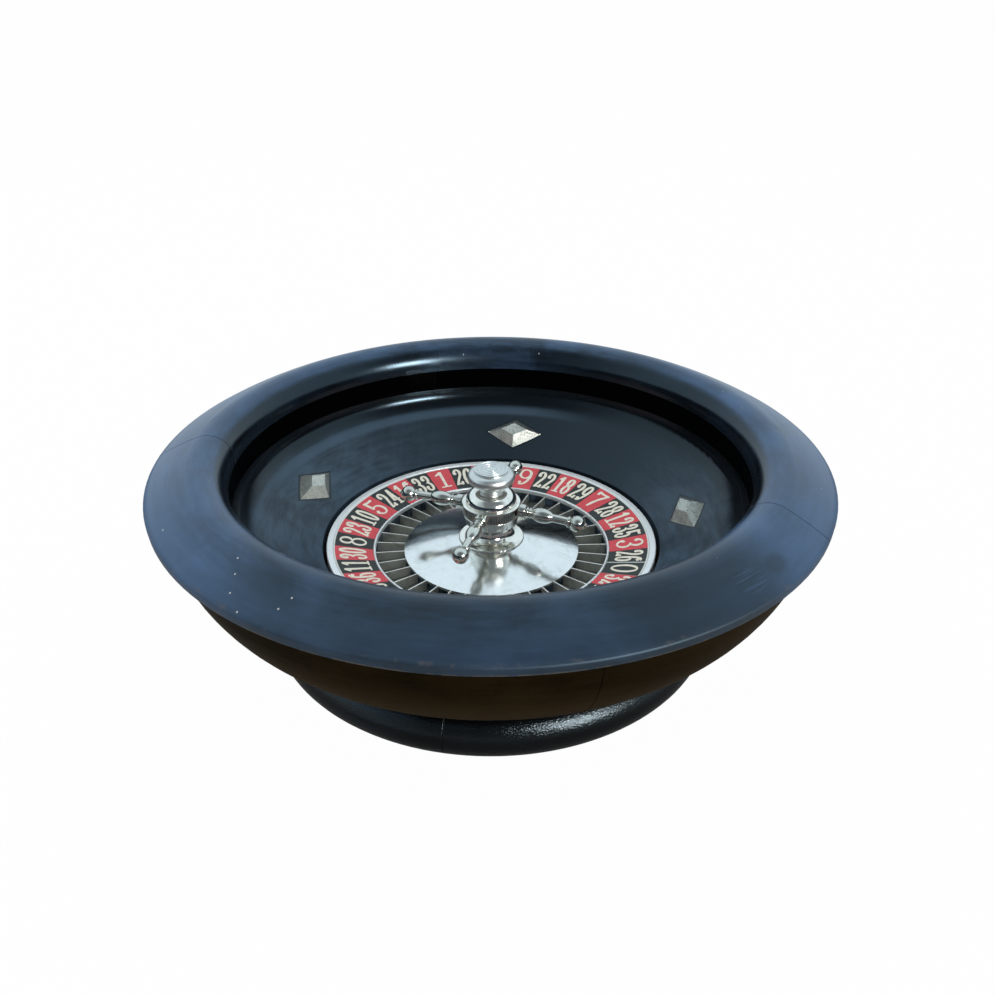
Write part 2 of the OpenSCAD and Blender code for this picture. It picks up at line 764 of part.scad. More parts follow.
module turret_drum() {
    color("#d9dadb") difference() {
        rotate_extrude($fn = 128) drum_profile();
        for (i = [0 : 3])
            at_root(i) translate([0, 0, tenon_from - glue_gap])
                cylinder(d = tenon_d + glue_gap, h = tenon_l + 2, $fn = 32);
    }
}

// The hard plug that runs on the spindle's domed end
module thrust_plug() {
    color("#b8924a") translate([0, 0, plug_low_h]) cylinder(r = plug_r - run_gap / 2, h = plug_t);
}

module turret_cap() {
    dome_low_h = drum_top_h + cap_step_h;
    rise = cap_top_h - dome_low_h;
    run = cap_r - cap_top_d / 2;
    dome_r = (rise * rise + run * run) / (2 * rise) * 1.05;
    half = sqrt(rise * rise + run * run) / 2;
    inward = [-rise, -run] / (2 * half);
    dome_at = [cap_r - run / 2, dome_low_h + rise / 2] + sqrt(dome_r * dome_r - half * half) * inward;
    color("#d9dadb") rotate_extrude($fn = 128) difference() {
        union() {
            translate([0, cap_seat_h]) square([cap_r, dome_low_h - cap_seat_h]);
            intersection() {
                translate(dome_at) circle(r = dome_r, $fn = 240);
                translate([0, dome_low_h]) square([cap_r, rise]);
            }
            polygon([[0, dome_low_h], [cap_r, dome_low_h], [cap_top_d / 2, cap_top_h],
                [0, cap_top_h]]);
            translate([0, cap_seat_h - cap_spigot_h]) square([cap_spigot_r, cap_spigot_h]);
        }
        translate([0, cap_top_h - knob_spigot_h - glue_gap])
            square([knob_spigot_r + glue_gap, knob_spigot_h + 1]);
        translate([-1, cap_seat_h - cap_spigot_h - 1]) square([1, rise + 2 * cap_spigot_h + 5]);
    }
}

// The mushroom knob with a fine stepped top
module finial_knob() {
    neck_r = knob_neck_d / 2;
    edge_at = [knob_r - knob_edge_r, knob_h];
    top_r = knob_top_d / 2;
    top_h = knob_h + knob_top_h;
    under_h = knob_h - knob_edge_r;
    foot_r = cap_top_d / 2 - edge_round;
    hollow_r = under_h - cap_top_h - 2 * edge_round;
    color("#d9dadb") rotate_extrude($fn = 128) difference() {
        union() {
            translate([0, cap_top_h]) square([foot_r, 2 * edge_round]);
            translate([foot_r, cap_top_h + edge_round]) circle(r = edge_round, $fn = 32);
            translate([0, cap_top_h]) square([edge_at.x, knob_mid_h + knob_edge_r]);
            translate(edge_at) circle(r = knob_edge_r, $fn = 96);
            translate([0, knob_h]) square([top_r, knob_top_h]);
            translate([0, cap_top_h - knob_spigot_h])
                square([knob_spigot_r, knob_spigot_h + join]);
        }
        translate([neck_r + hollow_r, under_h - hollow_r]) circle(r = hollow_r, $fn = 96);
        translate([neck_r + hollow_r, cap_top_h + 2 * edge_round])
            square([knob_r, hollow_r]);
        translate([foot_r + edge_round, cap_top_h - join]) square([knob_r, join + 2 * edge_round]);
        for (share = [0.35, 0.6, 0.85])
            translate([top_r * share, top_h]) circle(r = edge_round / 2, $fn = 24);
        translate([-join, cap_top_h - knob_spigot_h - join]) square([join, knob_r + top_h]);
    }
}

// One turned handle, drawn standing on its threaded end and then laid out from the drum
module handle(index) {
    ball_r = ball_d / 2;
    bulge_from = collar_l + 2 * bead_l;
    ring_l = bead_l;
    ring_at = handle_l - ball_d - ring_l;
    seat_r = handle_drop - 2 * edge_round;
    seat_from = drum_r + run_gap - handle_root_r + seat_r * sin(handle_droops[index]);
    bulge_rise = (bulge_d - thin_d) / 2;
    bulge_arc_r = (bulge_l * bulge_l / 4 + bulge_rise * bulge_rise) / (2 * bulge_rise);
    at_root(index)
        color("#d9dadb") rotate_extrude($fn = 64) difference() {
            union() {
                translate([0, tenon_from]) square([tenon_d / 2, join - tenon_from]);
                translate([0, seat_from]) square([seat_r, join - seat_from]);
                square([collar_d / 2 - edge_round, collar_l]);
                translate([0, edge_round]) square([collar_d / 2, collar_l - 2 * edge_round]);
                for (z = [edge_round, collar_l - edge_round])
                    translate([collar_d / 2 - edge_round, z]) circle(r = edge_round, $fn = 24);
                for (i = [0, 1])
                    translate([(bead_d - bead_l) / 2, collar_l + (i + 0.5) * bead_l])
                        circle(r = bead_l / 2, $fn = 24);
                translate([0, collar_l]) square([(bead_d - bead_l) / 2, 2 * bead_l]);
                intersection() {
                    translate([bulge_d / 2 - bulge_arc_r, bulge_from + bulge_l / 2])
                        circle(r = bulge_arc_r, $fn = 180);
                    translate([0, bulge_from]) square([bulge_d, bulge_l]);
                }
                translate([0, bulge_from]) square([thin_d / 2, ring_at + ring_l - bulge_from]);
                translate([thin_d / 2, ring_at + ring_l / 2]) circle(r = ring_l / 2, $fn = 24);
                translate([0, ring_at]) square([thin_d / 2 - edge_round, ring_l + join]);
                translate([0, handle_l - ball_r - edge_round]) circle(r = ball_r, $fn = 96);
                translate([0, handle_l - join]) square([join, join]);
            }
            translate([-bulge_d, tenon_from - join]) square([bulge_d, handle_l + tenon_l + 4 * join]);
        }
}

module handle_right() {
    handle(0);
}

module handle_back() {
    handle(1);
}

module handle_left() {
    handle(2);
}

module handle_front() {
    handle(3);
}

rim_front();
rim_back();
body_ring_left();
body_ring_right();
apron();
deflector_right();
deflector_back();
deflector_left();
deflector_front();
foot_ring_left();
foot_ring_right();
floor_board();
board_screws();
spindle();
spindle_flange();
flange_screws();
spindle_washer();
spindle_nut();
rotor_disc();
outer_ring();
number_ring();
inner_ring();
pocket_floor();
frets();
cone();
rotor_bush();
bush_screws();
thrust_plug();
turret_base();
turret_drum();
turret_cap();
finial_knob();
handle_right();
handle_back();
handle_left();
handle_front();
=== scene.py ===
"""Lacquer, metal, enamel and numbers for a small turned roulette wheel."""
import math

import bpy
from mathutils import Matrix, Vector
from mathutils.geometry import delaunay_2d_cdt


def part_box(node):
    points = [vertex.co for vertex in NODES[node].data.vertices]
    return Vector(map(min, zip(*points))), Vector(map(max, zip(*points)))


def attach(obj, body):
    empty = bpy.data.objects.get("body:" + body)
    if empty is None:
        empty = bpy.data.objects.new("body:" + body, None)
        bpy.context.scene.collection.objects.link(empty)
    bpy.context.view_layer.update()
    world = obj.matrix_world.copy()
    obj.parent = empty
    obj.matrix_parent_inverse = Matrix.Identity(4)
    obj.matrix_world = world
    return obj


bl_info = {
    "name": "Small roulette wheel",
    "version": (1, 0, 0),
    "blender": (4, 5, 0),
    "location": "3D View > Sidebar > Roulette",
    "description": "Finishes and numbers for a turned wooden roulette wheel",
    "category": "Object",
}

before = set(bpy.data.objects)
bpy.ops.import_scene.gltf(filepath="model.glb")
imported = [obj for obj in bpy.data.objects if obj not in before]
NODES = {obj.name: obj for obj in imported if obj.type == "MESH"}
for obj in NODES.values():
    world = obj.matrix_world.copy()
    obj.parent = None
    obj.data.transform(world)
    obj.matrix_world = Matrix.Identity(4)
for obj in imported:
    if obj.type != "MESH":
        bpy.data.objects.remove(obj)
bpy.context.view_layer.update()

# Seams between the segments of the turned rings, in degrees from the right, seen from above.
RIM_SEAMS = (331.5, 179.5)
BODY_SEAMS = (285.7, 105.7)
FOOT_SEAMS = (259.4, 79.4)

# Marks in the lacquer: direction in degrees, radius, size, and stretch round the axis.
# The pale spot on the lip at the back is a painted highlight.
LIP_HIGHLIGHT = (92.0, 0.1200, 0.030, 1.5)
RIM_PALE = (319.0, 0.1275, 0.018, 1.5)
RIM_DARK_RIGHT = (303.0, 0.1380, 0.048)
RIM_DARK_LEFT = (240.0, 0.1500, 0.045)
RIM_SCRATCHES = (311.3, 0.1433, 0.0065, 1.5)
RIM_BLOTCH = (317.7, 0.1437, 0.0050, 1.6)
# The streaks on the foot are a painted sheen.
FOOT_SHEEN = (240.0, 0.0900, 0.020, 1.6)

# Single specks of paint on the rim: direction in degrees and radius.
SPECK_SIZE = 0.0005
RIM_SPECKS = ((227.0, 0.1356), (229.1, 0.1407), (230.9, 0.1468), (234.1, 0.1509),
              (240.6, 0.1400), (239.7, 0.1449), (208.4, 0.1471))

# Radii at which the length of a turn is measured, for streaks and for small specks.
TURN_RADIUS = 0.12
SPECK_RING = 0.13

# Radii, heights, turns and distances to a side between which a tone of the wood comes or goes.
# Several bound painted light: painted shade on the inner lip, the rim's front, the body's inside
# and the track's steep wall and back, painted sheen on the rim, painted light on the body and a
# painted reflection in the cove.
RIM_LIP_SHADE = (0.1206, 0.1238)
RIM_SHEEN_START = (0.1360, 0.1460)
RIM_SHEEN_END = (0.1500, 0.1530)
RIM_DULL_START = (0.1500, 0.1520)
RIM_SHEEN_SIDES = (0.05, 0.12)
RIM_SHADE_TURN = (0.25, 0.95)
BODY_INSIDE = (0.1178, 0.1186)
BODY_LIT_SIDE = (0.02, 0.11)
TRACK_SHADE_TURN = (1.6, 2.8)
TRACK_STEEP = (0.1070, 0.1135)
COVE_START = (0.1035, 0.1062)
COVE_END = (0.1080, 0.1108)
COVE_BACK = (-0.03, 0.05)
COVE_LEFT = (0.01, 0.06)
FOOT_INSIDE = (0.0795, 0.0805)
FOOT_RUBBED = (0.0012, 0.0030)
# Turn by which the middle of the painted shade at the track's back stands off the straight back.
TRACK_SHADE_OFF = 0.35
# Radius from which the finish rounds the corner of the cove, and how fast it rises there.
HOLLOW_START = 0.1060
HOLLOW_CURVE = 30.0
# Half width and half length of a deflector's foot, and the shares of them where the painted shadow
# round it ends.
LOZENGE_HALF = (0.0078, 0.0150)
LOZENGE_SHADOW_LINE = (1.06, 1.18)
# Distances in from an edge, or up from an underside, between which wear or bare metal shows.
RIM_CORNER_IN, RIM_CORNER_UP = (0.0022, 0.0006), (0.0025, 0.0040)
RIM_UNDER_IN, RIM_UNDER_UP = 0.004, (0.0002, 0.0009)
BODY_WORN_UP = (0.0006, 0.0014)
RING_EDGE_IN = (0.0008, 0.0006)
# Depth to which the sides of the numerals reach into the ring.
NUMERAL_SUNK = 0.00005

# Stage: the tint of the pale room in gloss and metal, the floor's reach and its share of plain
# white, where its mirrored white begins, which parts of the room are dimmer, and the point that
# the lamps face, with their places and sizes.
MIRRORED_TONE = (0.78, 0.91, 1.0)
FLOOR_HALF = 7.0
FLOOR_WHITE = 0.985
MIRRORED_FROM = (0.15, 0.90)
MIRRORED_FRONT = (-1.6, 0.1)
SKY_DIM_WAY = (0.53, 0.85)
SKY_DIM_RISE = (0.35, 0.75)
SKY_LEFT_RISE = (0.35, 0.65)
LAMP_AIM = (0.0, 0.0, 0.05)
OVERHEAD_PLACE, OVERHEAD_SIZE = (-0.25, 0.35, 1.5), (1.6, 1.6)
WINDOW_PLACE, WINDOW_SIZE = (0.90, -1.10, 0.55), (0.56, 0.42)

DEFLECTORS = ("deflector_right", "deflector_back", "deflector_left", "deflector_front")
# Numbers round the ring from the zero, counter-clockwise seen from above.
NUMBER_ORDER = (0, 26, 3, 35, 12, 28, 7, 29, 18, 22, 9, 31, 14, 20, 1, 33, 16, 24, 5,
                10, 23, 8, 30, 11, 36, 13, 27, 6, 34, 17, 25, 2, 21, 4, 19, 15, 32)


def top_of(node):
    """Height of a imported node's highest point."""
    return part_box(node)[1].z


def foot_of(node):
    """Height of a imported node's lowest point."""
    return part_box(node)[0].z


def reach_of(node):
    """Largest distance of a turned node from the wheel's axis."""
    low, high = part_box(node)
    return max(-low.x, -low.y, high.x, high.y)


# ---------------------------------------------------------------- shader maths

class Value:
    """A socket of a finish, so that its maths reads as plain expressions."""

    def __init__(self, nodes, socket):
        self.nodes = nodes
        self.socket = socket

    def maths(self, operation, *others):
        return self.nodes.maths(operation, self, *others)

    def __add__(self, other):
        return self.maths("ADD", other)

    def __radd__(self, other):
        return self.nodes.maths("ADD", other, self)

    def __sub__(self, other):
        return self.maths("SUBTRACT", other)

    def __rsub__(self, other):
        return self.nodes.maths("SUBTRACT", other, self)

    def __mul__(self, other):
        return self.maths("MULTIPLY", other)

    def __rmul__(self, other):
        return self.nodes.maths("MULTIPLY", other, self)

    def __truediv__(self, other):
        return self.maths("DIVIDE", other)

    def __rtruediv__(self, other):
        return self.nodes.maths("DIVIDE", other, self)

    def __neg__(self):
        return self.nodes.maths("MULTIPLY", self, -1.0)

    def __abs__(self):
        return self.maths("ABSOLUTE")

    def __mod__(self, other):
        return self.maths("FLOORED_MODULO", other)

    def least(self, other):
        return self.maths("MINIMUM", other)

    def most(self, other):
        return self.maths("MAXIMUM", other)

    def above(self, limit):
        return self.maths("GREATER_THAN", limit)

    def below(self, limit):
        return self.maths("LESS_THAN", limit)

    def floor(self):
        return self.maths("FLOOR")

    def rise(self, low, high):
        """0 below low, 1 above high, and a smooth step between them."""
        return self.nodes.add("ShaderNodeMapRange", {"interpolation_type": "SMOOTHSTEP"},
                              {"Value": self, "From Min": low, "From Max": high})

    def fall(self, low, high):
        """1 below low, 0 above high, and a smooth step between them."""
        return 1 - self.rise(low, high)

    def part(self, name):
        """Another output of the same node."""
        return Value(self.nodes, self.socket.node.outputs[name])


class Nodes:
    """Builds one node tree."""

    def __init__(self, tree):
        self.tree = tree
        tree.nodes.clear()

    def add(self, kind, settings, inputs):
        """Adds a node, joins its sockets by name or in order, and gives its first output."""
        node = self.tree.nodes.new(kind)
        for key, value in settings.items():
            if key == "stops":
                ramp = node.color_ramp.elements
                while len(ramp) < len(value):
                    ramp.new(1.0)
                for stop, (place, colour) in zip(ramp, value):
                    stop.position = place
                    stop.color = (*colour, 1.0)
            else:
                setattr(node, key, value)
        free = [socket for socket in node.inputs if socket.enabled]
        if isinstance(inputs, dict):
            pairs = [(next(s for s in free if s.name == key), value)
                     for key, value in inputs.items()]
        else:
            pairs = list(zip(free, inputs))
        for socket, value in pairs:
            if isinstance(value, Value):
                self.tree.links.new(value.socket, socket)
            elif socket.type == "RGBA":
                socket.default_value = (value[0], value[1], value[2], 1.0)
            else:
                socket.default_value = value
        return Value(self, next((s for s in node.outputs if s.enabled), None))

    def maths(self, operation, *values):
        return self.add("ShaderNodeMath", {"operation": operation}, values)

    def mix(self, share, first, second):
        """Colour that goes from first to second as share goes from 0 to 1."""
        return self.add("ShaderNodeMix", {"data_type": "RGBA"},
                        {"Factor": share, "A": first, "B": second})

    def point(self, x, y, z):
        return self.add("ShaderNodeCombineXYZ", {}, (x, y, z))

    def noise(self, place, scale, detail=2.0, roughness=0.5, distortion=0.0):
        return self.add("ShaderNodeTexNoise", {}, {
            "Vector": place, "Scale": scale, "Detail": detail,
            "Roughness": roughness, "Distortion": distortion})

    def cells(self, place, scale, dimensions="2D"):
        return self.add("ShaderNodeTexVoronoi", {"voronoi_dimensions": dimensions},
                        {"Vector": place, "Scale": scale})

    def ray(self, name):
        return self.add("ShaderNodeLightPath", {}, {}).part(name)


class Look(Nodes):
    """One finish, with the places on the wheel that its pattern follows."""

    def __init__(self, name, **fixed):
        self.material = bpy.data.materials.new(name)
        self.material.use_nodes = True
        super().__init__(self.material.node_tree)
        self.shader = self.tree.nodes.new("ShaderNodeBsdfPrincipled")
        self.output = self.tree.nodes.new("ShaderNodeOutputMaterial")
        self.tree.links.new(self.shader.outputs[0], self.output.inputs["Surface"])
        for key, value in fixed.items():
            self.shader.inputs[key.replace("_", " ")].default_value = value
        self.place = self.add("ShaderNodeTexCoord", {}, {}).part("Object")
        split = self.add("ShaderNodeSeparateXYZ", {}, {"Vector": self.place})
        self.x, self.y, self.z = split.part("X"), split.part("Y"), split.part("Z")
        self.r = (self.x * self.x + self.y * self.y).maths("SQRT")
        # Direction round the axis, from -pi to pi, which is 0 at the front.
        self.turn = self.maths("ARCTAN2", self.x, -self.y)

    def wrapped(self, across, along):
        """Place on a turned surface, with its own scale round the axis and across it."""
        return self.point(self.turn * (TURN_RADIUS * along), self.r * across, self.z * across)

    def seam(self, degrees, width):
        """A line where two segments of a ring meet, seen from above."""
        direction = math.radians(degrees)
        off = abs(self.y * math.cos(direction) - self.x * math.sin(direction))
        ahead = (self.x * math.cos(direction) + self.y * math.sin(direction)).above(0.0)
        return off.fall(0.4 * width, width) * ahead

    def spot(self, degrees, radius, size, stretch=1.0):
        """A soft round mark at a place on a turned surface, longer round the axis by stretch."""
        direction = math.radians(degrees)
        away_x = self.x * math.cos(direction) + self.y * math.sin(direction) - radius
        away_y = self.y * math.cos(direction) - self.x * math.sin(direction)
        away_y = away_y / stretch
        return (away_x * away_x + away_y * away_y).maths("SQRT").fall(0.4 * size, size)

    def below_lozenge(self, name):
        """A painted shadow on the track round the foot of a deflector."""
        low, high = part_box(name)
        middle = (low + high) / 2
        direction = math.atan2(middle.y, middle.x)
        along = self.x * math.cos(direction) + self.y * math.sin(direction)
        across = self.y * math.cos(direction) - self.x * math.sin(direction)
        away_x, away_y = abs(along - middle.xy.length), abs(across)
        return (away_x / LOZENGE_HALF[0] + away_y / LOZENGE_HALF[1]).fall(*LOZENGE_SHADOW_LINE)

    def bump(self, height, distance, strength=1.0):
        """Surface that rises by distance as height goes from 0 to 1."""
        return self.add("ShaderNodeBump", {}, {"Height": height, "Distance": distance,
                                               "Strength": strength})

    def join(self, **links):
        """Joins values to the shader's sockets and gives the finished material."""
        for key, value in links.items():
            self.tree.links.new(value.socket, self.shader.inputs[key.replace("_", " ")])
        return self.material


def dress(material, *names):
    """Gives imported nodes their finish."""
    for name in names:
        slots = NODES[name].data.materials
        slots.clear()
        slots.append(material)


def new_piece(name, verts, faces, material, body):
    """Makes a mesh piece in the wheel's own frame, which moves with a body."""
    mesh = bpy.data.meshes.new(name)
    mesh.from_pydata(verts, [], faces)
    mesh.validate()
    mesh.materials.append(material)
    piece = bpy.data.objects.new(name, mesh)
    bpy.context.scene.collection.objects.link(piece)
    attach(piece, body)
    return piece


# ---------------------------------------------------------------- settings

def colour(name, description, default):
    return bpy.props.FloatVectorProperty(name=name, description=description, default=default,
                                         size=3, min=0.0, max=1.0, subtype="COLOR")


def length(name, description, default):
    return bpy.props.FloatProperty(name=name, description=description, default=default,
                                   min=0.0, soft_max=1.0, unit="LENGTH", precision=5)


def amount(name, description, default, top=1.0):
    return bpy.props.FloatProperty(name=name, description=description, default=default,
                                   min=0.0, max=top)


class WheelWood(bpy.types.PropertyGroup):
    """Lacquer and wood colours."""

    rim_deep: colour("Rim, deep", "Darker tone of the rim's lacquer", (0.0060, 0.0110, 0.0200))
    rim_film: colour("Rim, film", "Paler tone of the rim's worn lacquer", (0.057, 0.120, 0.245))
    body_deep: colour("Body, upper", "Tone of the body ring below the rim",
                      (0.0100, 0.0066, 0.0028))
    body_film: colour("Body, lower", "Tone of the body ring above the foot", (0.052, 0.034, 0.0140))
    track_deep: colour("Track, deep", "Darker tone of the ball track", (0.0045, 0.0080, 0.0130))
    track_film: colour("Track, film", "Paler tone of the ball track's streaks",
                       (0.062, 0.108, 0.164))
    foot_deep: colour("Foot, deep", "Tone of the foot's black lacquer", (0.0012, 0.0014, 0.0018))
    foot_film: colour("Foot, film", "Tone of the foot's streaks", (0.013, 0.015, 0.016))
    worn: colour("Worn edge", "Wood that shows where the lacquer is rubbed through",
                 (0.16, 0.115, 0.070))
    dust: colour("Specks", "Small pale specks of paint", (0.62, 0.64, 0.62))
    bare: colour("Bare wood", "Unfinished wood inside the foot", (0.30, 0.175, 0.085))
    bare_dark: colour("Bare wood, dark", "Darker rings of the unfinished wood",
                      (0.145, 0.075, 0.034))
    seam_width: length("Seam width", "Half width of the dark line at a seam", 0.00042)


class WheelMetal(bpy.types.PropertyGroup):
    """Colours of metal, enamel and paint."""

    nickel: colour("Nickel", "Polished nickel", (0.88, 0.88, 0.82))
    handles: colour("Handles", "Duller nickel of the handles", (0.64, 0.66, 0.61))
    knob: colour("Knob", "Satin metal of the knob", (0.68, 0.71, 0.70))
    nickel_dull: colour("Nickel, dull", "Tarnished nickel", (0.20, 0.225, 0.21))
    satin: colour("Ring", "Satin metal of the outer ring", (0.92, 0.98, 1.00))
    cone: colour("Cone", "Polished metal of the cone", (0.85, 0.88, 0.87))
    pewter: colour("Pewter", "Metal of the deflectors", (0.66, 0.68, 0.62))
    pewter_dark: colour("Pewter, dark", "Pits of the deflectors", (0.12, 0.13, 0.11))
    brass: colour("Brass", "Bush and its screws", (0.72, 0.52, 0.24))
    steel: colour("Steel", "Spindle, nut and wood screws", (0.52, 0.53, 0.54))
    red: colour("Red enamel", "Red cells of the number ring", (0.63, 0.058, 0.080))
    black: colour("Black enamel", "Black cells of the number ring", (0.014, 0.021, 0.021))
    cream: colour("Cream", "Paint of the numbers", (0.87, 0.87, 0.76))
    pocket: colour("Pocket floor", "Dark paint between the frets", (0.080, 0.092, 0.082))


class WheelNumbers(bpy.types.PropertyGroup):
    """Sizes of the number ring's pattern and numerals."""

    zero: bpy.props.FloatProperty(name="Zero",
                                  description="Direction of the middle of the cell of number 0",
                                  default=math.radians(337.2), subtype="ANGLE")
    slope: bpy.props.FloatProperty(name="Slope", description="Slope of the number ring",
                                   default=math.radians(11.6), subtype="ANGLE")
    outer_gap: length("Outer gap", "From the ring's outer edge to the tops of the numerals", 0.0025)
    height: length("Height", "Height of a numeral", 0.0128)
    single: length("Single width", "Width of a numeral that stands alone", 0.0070)
    pair: length("Pair width", "Width of each numeral of a pair", 0.0045)
    pair_gap: length("Pair gap", "Gap between the two numerals of a pair", 0.00055)
    pen_wide: length("Broad stroke", "Thickness of the upright strokes", 0.00150)
    pen_thin: length("Fine stroke", "Thickness of the level strokes", 0.00088)
    relief: length("Relief", "Height of the numerals above the ring", 0.00012)


class WheelStage(bpy.types.PropertyGroup):
    """Floor, lamps and camera."""

    floor: colour("Floor", "Pale floor", (0.62, 0.62, 0.61))
    sky: amount("Sky", "Level of the pale surroundings for diffuse light", 0.62, 4.0)
    overhead: bpy.props.FloatProperty(name="Overhead lamp", description="Power of the large lamp",
                                      default=9.5, min=0.0, unit="POWER")
    window: bpy.props.FloatProperty(name="Window lamp", description="Power of the small lamp",
                                    default=30.0, min=0.0, unit="POWER")
    camera_height: length("Camera height", "Height of the camera above the floor", 0.2943)
    camera_side: length("Camera side", "Distance of the camera to the right of the axis", 0.0027)
    camera_back: length("Camera distance", "Distance of the camera in front of the axis", 0.4092)
    camera_pitch: bpy.props.FloatProperty(name="Camera pitch",
                                          description="Angle that the camera looks down",
                                          default=math.radians(29.08), subtype="ANGLE")
    lens: bpy.props.FloatProperty(name="Lens",
                                  description="Focal length for a 36 mm square picture",
                                  default=36.18, min=1.0, unit="CAMERA")


# ---------------------------------------------------------------- finishes

def lacquer_specks(look, cell, size, share):
    """Rare pale specks, one in a few of the cells of a turned surface."""
    place = look.point(look.turn * (SPECK_RING / cell), look.r / cell, 0.0)
    cells = look.cells(place, 1.0)
    pick = look.add("ShaderNodeSeparateColor", {}, {"Color": cells.part("Color")})
    rough = look.noise(look.place, 2500.0, 1.0)
    reach = (pick.part("Green") * 0.7 + 0.3) * (size / cell) * (rough + 0.5)
    return cells.below(reach) * pick.above(1.0 - share)


def lacquer(name, deep, film, seams, wood, film_share, gloss, level, sheen,
            streak_scale=(260.0, 48.0), line=0.9):
    """Worn lacquer over turned wood: mottled film, fine streaks, dark seams and small scratches."""
    look = Look(name, IOR=1.45, Specular_IOR_Level=level, Specular_Tint=(*sheen, 1.0))
    streaks = look.noise(look.wrapped(*streak_scale), 1.0, 4.0, 0.62)
    clouds = look.noise(look.place, 22.0, 4.0, 0.6, 0.4)
    haze = (clouds * 0.75 + streaks * 0.45).rise(0.40, 0.86)
    tone = look.mix(haze * film_share, deep, film)
    fine = look.noise(look.place, 900.0, 3.0, 0.7)
    rub = look.noise(look.wrapped(900.0, 40.0), 1.0, 2.0).rise(0.62, 0.80)
    tone = look.mix(rub * 0.25, tone, film)
    dark = 0.0
    for seam in seams:
        dark = look.seam(seam, wood.seam_width).most(dark)
    tone = look.mix(dark * line, tone, (0.002, 0.002, 0.002))
    rough = gloss[0] + (gloss[1] - gloss[0]) * clouds + 0.10 * rub + 0.25 * dark
    height = 0.6 * streaks + 0.25 * fine - 1.2 * dark
    return look, tone, rough, height


def metal(name, bright, dull, rough=(0.08, 0.22), tarnish=0.35, metallic=1.0):
    """Polished metal with soft tarnish, fine scratches and a slightly uneven surface."""
    look = Look(name, Metallic=metallic)
    clouds = look.noise(look.place, 160.0, 4.0, 0.65, 0.6)
    fine = look.noise(look.wrapped(2600.0, 220.0), 1.0, 3.0, 0.6)
    spots = look.cells(look.place, 420.0, "3D").fall(0.02, 0.16) * clouds.rise(0.45, 0.7)
    stain = clouds.rise(0.42, 0.85) * tarnish + spots * 0.5
    tone = look.mix(stain, bright, dull)
    gloss = (rough[0] + (rough[1] - rough[0]) * clouds + 0.12 * fine.rise(0.55, 0.8)
             + 0.2 * spots)
    height = look.noise(look.place, 260.0, 2.0) * 0.8 + fine * 0.2 - spots * 0.5
    return look, tone, gloss, height


# ---------------------------------------------------------------- wooden pieces

class WHEEL_OT_rim(bpy.types.Operator):
    """Lacquers the rim and wears its outer edge, with painted shade on the front and on the inner
    lip and painted sheen on its left, right and outer slope
    """

    bl_idname = "wheel.rim"
    bl_label = "Rim"

    def execute(self, context):
        wood = context.scene.wheel_wood
        look, tone, rough, height = lacquer(
            "rim_lacquer", wood.rim_deep, wood.rim_film, RIM_SEAMS, wood,
            film_share=0.9, gloss=(0.27, 0.39), level=0.6, sheen=(0.60, 0.84, 1.0))
        # Painted shade: the inner lip is made near black where it turns down into the bowl, and a
        # painted highlight lightens it at the back.
        lip = look.r.fall(*RIM_LIP_SHADE) * (1 - 0.7 * look.spot(*LIP_HIGHLIGHT))
        # Painted sheen: a paler strip across the rim's outer slope.
        slope_sheen = look.r.rise(*RIM_SHEEN_START) * look.r.fall(*RIM_SHEEN_END)
        # Painted sheen: the rim's left and right are made paler and bluer.
        side_sheen = abs(look.x).rise(*RIM_SHEEN_SIDES) * (1 - lip)
        # Painted shade: the front of the rim is made darker.
        front = abs(look.turn).fall(*RIM_SHADE_TURN)
        # Darker patches at the front right and front left of the rim.
        darkened = look.spot(*RIM_DARK_RIGHT) + 0.33 * look.spot(*RIM_DARK_LEFT)
        for share, shade in ((lip * 0.85, wood.foot_deep), (slope_sheen * 0.35, wood.rim_film),
                             (side_sheen * 0.40, wood.rim_film), (front * 0.58, wood.rim_deep),
                             (look.spot(*RIM_PALE) * 0.45, wood.rim_film),
                             (darkened.least(1.0) * 0.75, wood.rim_deep)):
            tone = look.mix(share, tone, shade)
        rough = rough - 0.12 * lip + 0.20 * look.r.rise(*RIM_DULL_START)

        low, edge_r = foot_of("rim_back"), reach_of("rim_back")
        chips = look.noise(look.place, 140.0, 4.0, 0.7)
        corner = (look.r.rise(*(edge_r - inward for inward in RIM_CORNER_IN))
                  * look.z.rise(*(low + up for up in RIM_CORNER_UP)))
        under = (look.z.fall(*(low + up for up in RIM_UNDER_UP))
                 * look.r.above(edge_r - RIM_UNDER_IN))
        worn = corner * chips.rise(0.54, 0.70) * 0.35 + under * chips.rise(0.42, 0.62) * 0.55
        specks = lacquer_specks(look, 0.010, 0.00030, 0.10)
        for degrees, radius in RIM_SPECKS:
            specks = specks.most(look.spot(degrees, radius, SPECK_SIZE))
        scratches = look.noise(look.wrapped(1500.0, 60.0), 1.0, 2.0).rise(0.50, 0.66)
        for share, shade in ((worn.least(1.0), wood.worn),
                             (look.spot(*RIM_SCRATCHES) * scratches * 0.42, wood.rim_film),
                             (look.spot(*RIM_BLOTCH) * 0.5, wood.rim_deep),
                             (specks * 0.85, wood.dust)):
            tone = look.mix(share, tone, shade)
        dress(look.join(Base_Color=tone, Roughness=rough + 0.3 * worn + 0.2 * specks,
                        Normal=look.bump(height + 0.4 * specks, 0.00006)),
              "rim_front", "rim_back")
        return {"FINISHED"}


